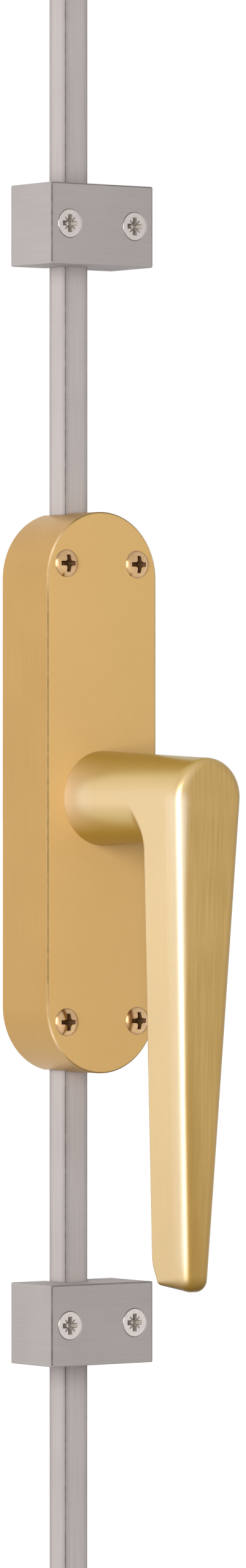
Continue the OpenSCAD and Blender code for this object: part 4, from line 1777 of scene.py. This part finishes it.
    def _rim(self, face: Face) -> float:
        """How far a face belongs to the painted shade rim round the head.

        Args:
            face: a face of the screw.

        Returns:
            The share, 0 to 1.
        """
        x, y, z = face.center / MM
        start = self.dark_rim * self.head_r
        share = (math.hypot(x, z) - start) / (self.head_r - start)
        return min(max(share, 0.0), 1.0) * (y < self.spare)

    def _in_recess(self, face: Face) -> bool:
        """Whether a face lies on the recess's walls or floor.

        Args:
            face: a face of the screw.

        Returns:
            True for such a face.
        """
        sunk, past_wing = 0.04, 0.53
        x, y, z = face.center / MM
        radius = math.hypot(x, z)
        inner = self.recess_w / 2
        walls = inner < radius < self.recess_l * past_wing
        floor = radius < inner and face.normal.y < -SQUARE
        return self._top(radius) + sunk < y < self.recess_h + self.spare and (walls or floor)

    def _thread(self) -> Obj:
        """Winds the thread: a three-sided ridge swept round the core and drawn in along the point.

        Returns:
            The thread.
        """
        inside, ridge, lead_in, run_out = 0.15, 0.26, 0.5, 1.6
        drawn_in, first = 0.9, 0.7
        half = self.lead * ridge
        start = self.grip + lead_in
        bpy.ops.object.select_all(action="DESELECT")
        bpy.ops.mesh.primitive_circle_add(vertices=3, radius=MM, fill_type="NOTHING")
        thread = Bench.settle(f"{self.node}_thread")
        corners = [(self.crest_r, 0.0), (self.core_r - inside, half), (self.core_r - inside, -half)]
        for vertex, (radius, y) in zip(thread.data.vertices, corners):
            vertex.co = Vector((radius, start + half + y, 0)) * MM
        Bench.apply(
            thread, "SCREW", axis="Y", angle=2 * math.pi, steps=self.thread_steps,
            render_steps=self.thread_steps, iterations=int((self.thread_l - run_out) / self.lead),
            screw_offset=self.lead * MM, use_merge_vertices=False,
        )
        point = self.grip + self.thread_l - self.point_l
        for vertex in thread.data.vertices:
            y = vertex.co.y / MM
            share = 1 - drawn_in * max(0.0, y - point) / self.point_l
            share *= min(1.0, first + (y - start) / self.lead * (1 - first))
            vertex.co.x *= share
            vertex.co.z *= share
        with Bench.opened(thread, Pick.EDGES):
            Bench.choose(thread, Pick.EDGES, lambda e: e.is_boundary)
            bpy.ops.mesh.edge_face_add()
        Bench.close(thread)
        return thread


@dataclass(frozen=True)
class Softbox:
    """A soft rectangular lamp aimed at the bolt.

    Attributes:
        name: the lamp's name.
        azimuth: degrees round from the front (-Y) towards the left (-X).
        elevation: degrees above the horizon.
        distance: metres from the bolt.
        size: width and height in metres.
        radiance: brightness of its face, where 1 shows as white.
    """

    name: str
    azimuth: float
    elevation: float
    distance: float
    size: Pair
    radiance: float

    def place(self) -> None:
        """Adds the lamp to the scene."""
        lamp = bpy.data.lights.new(self.name, "AREA")
        lamp.shape = "RECTANGLE"
        lamp.size, lamp.size_y = self.size
        lamp.energy = self.radiance * math.pi * self.size[0] * self.size[1]
        holder = bpy.data.objects.new(self.name, lamp)
        bpy.context.scene.collection.objects.link(holder)
        around, up = math.radians(self.azimuth), math.radians(self.elevation)
        towards = Vector((-math.sin(around) * math.cos(up), -math.cos(around) * math.cos(up), math.sin(up)))
        holder.location = towards * self.distance
        holder.rotation_euler = towards.to_track_quat("Z", "Y").to_euler()


@dataclass
class Studio:
    """Floor, world, lamps and camera.

    Attributes:
        floor_half: half the side of the floor in metres.
        floor_gap: distance of the floor below the bolt in metres.
        floor_grey: grey of the floor's paint.
        floor_glow: what the floor's glow gains for the camera, and the glow that every eye sees.
        air: strength of the surroundings as light, and as they are seen.
        lens: focal length in millimetres on the default 36 mm sensor.
        distance: metres from the camera to the case's front.
        azimuth: degrees of the camera round from the front towards the left.
        aim: metres that the view's middle lies right of and above the middle of the case's front.
        far: metres that the camera sees.
        boxes: the lamps.
    """

    floor_half: float = 40.0
    floor_gap: float = 0.0004
    floor_grey: float = 0.5
    floor_glow: Pair = (0.05, 0.92)
    air: Pair = (0.32, 1.0)
    lens: float = 182.8
    distance: float = 2.297
    azimuth: float = 36.0
    aim: Pair = (0.006, 0.0025)
    far: float = 100.0
    boxes: tuple[Softbox, ...] = (
        Softbox("front_left_box", 54.0, 4.0, 1.3, (1.0, 0.9), 6.8),
        Softbox("back_left_box", 150.0, 5.0, 1.3, (0.9, 1.4), 0.4),
        Softbox("back_top_box", 178.0, 42.0, 1.3, (1.2, 0.9), 0.28),
    )

    def build(self) -> None:
        """Sets up the whole studio."""
        self._floor()
        self._world()
        for box in self.boxes:
            box.place()
        self._camera()
        bpy.context.scene.view_settings.view_transform = "Standard"

    @staticmethod
    def _seen(board: Board) -> Socket:
        """Says 1 for rays that see the background: from the camera, a gloss or through glass.

        Args:
            board: the tree to add to.

        Returns:
            The sum, held at 1.
        """
        path = board.add("ShaderNodeLightPath").outputs
        pair = board.math("ADD", path["Is Camera Ray"], path["Is Glossy Ray"])
        return board.math("ADD", pair, path["Is Transmission Ray"], clamp=True)

    def _floor(self) -> None:
        """Lays a pale floor under the bolt that reads white and keeps the shadow."""
        bpy.ops.object.select_all(action="DESELECT")
        level = CAD_BOX[0].z - self.floor_gap
        bpy.ops.mesh.primitive_plane_add(size=2 * self.floor_half, location=(0, 0, level))
        floor = bpy.context.object
        floor.name = "studio_floor"
        paint = bpy.data.materials.new("floor_paint")
        board = Board.fresh(paint)
        grey = self.floor_grey
        matt = board.add("ShaderNodeBsdfDiffuse", {"Color": (grey, grey, grey, 1.0)})
        camera = board.add("ShaderNodeLightPath").outputs["Is Camera Ray"]
        lift = board.math("MULTIPLY_ADD", camera, *self.floor_glow)
        lift = board.math("MULTIPLY", self._seen(board), lift)
        glow = board.add("ShaderNodeEmission", {"Color": WHITE, "Strength": lift})
        both = board.add("ShaderNodeAddShader", {0: matt.outputs[0], 1: glow.outputs[0]})
        board.add("ShaderNodeOutputMaterial", {"Surface": both.outputs[0]})
        floor.data.materials.append(paint)

    def _world(self) -> None:
        """Makes the surroundings white to the eye and a plain level to the light."""
        world = bpy.data.worlds.new("studio_air")
        bpy.context.scene.world = world
        board = Board.fresh(world)
        light, seen = (
            board.add("ShaderNodeBackground", {"Color": WHITE, "Strength": strength}).outputs[0]
            for strength in self.air
        )
        both = board.add("ShaderNodeMixShader", {0: self._seen(board), 1: light, 2: seen})
        board.add("ShaderNodeOutputWorld", {"Surface": both.outputs[0]})

    def _camera(self) -> None:
        """Puts the camera at the photograph's viewing angle."""
        around = math.radians(self.azimuth)
        back = Vector((-math.sin(around), -math.cos(around), 0))
        right = Vector((math.cos(around), -math.sin(around), 0))
        case_front = Vector((0, -Case().depth * MM, 0))
        target = case_front + right * self.aim[0] + Vector((0, 0, self.aim[1]))
        data = bpy.data.cameras.new("camera")
        data.lens = self.lens
        data.clip_end = self.far
        camera = bpy.data.objects.new("camera", data)
        bpy.context.scene.collection.objects.link(camera)
        camera.location = target + back * self.distance
        camera.rotation_euler = (-back).to_track_quat("-Z", "Y").to_euler()
        bpy.context.scene.camera = camera


def restyle_packed() -> None:
    """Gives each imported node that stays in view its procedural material."""
    for finish, nodes in PACKED_FINISHES.items():
        for node in nodes:
            for holder in frame["nodes"][node].material_slots:
                holder.material = finish.material()
            LOG.info("%s: keeps its packed shape, finish %s", node, finish.name)


def main() -> None:
    """Builds every piece in order, then the studio."""
    logging.basicConfig(level=logging.INFO, format="%(name)s: %(message)s")
    case = Case()
    case.build()
    DoorScrews(
        "case_screws", Recess.CROSS, case.screw_places(), case.depth, (BRIGHT_BRASS, SHADED_RECESS_BRASS), dome_h=1.4
    ).build()
    Lever().build()
    for side, upward in (("upper", True), ("lower", False)):
        Rod(f"{side}_rod", upward).build()
        guide = Guide(f"{side}_guide")
        guide.build()
        places = guide.screw_places()
        grip = -places[0][1]
        DoorScrews(
            f"{side}_guide_screws", Recess.TICKED_CROSS, places, grip, (BRIGHT_NICKEL, SHADED_RECESS_NICKEL),
            head_r=4.2, recess_l=5.2, recess_w=1.45,
        ).build()
    restyle_packed()
    Studio().build()


if __name__ == "__main__":
    main()
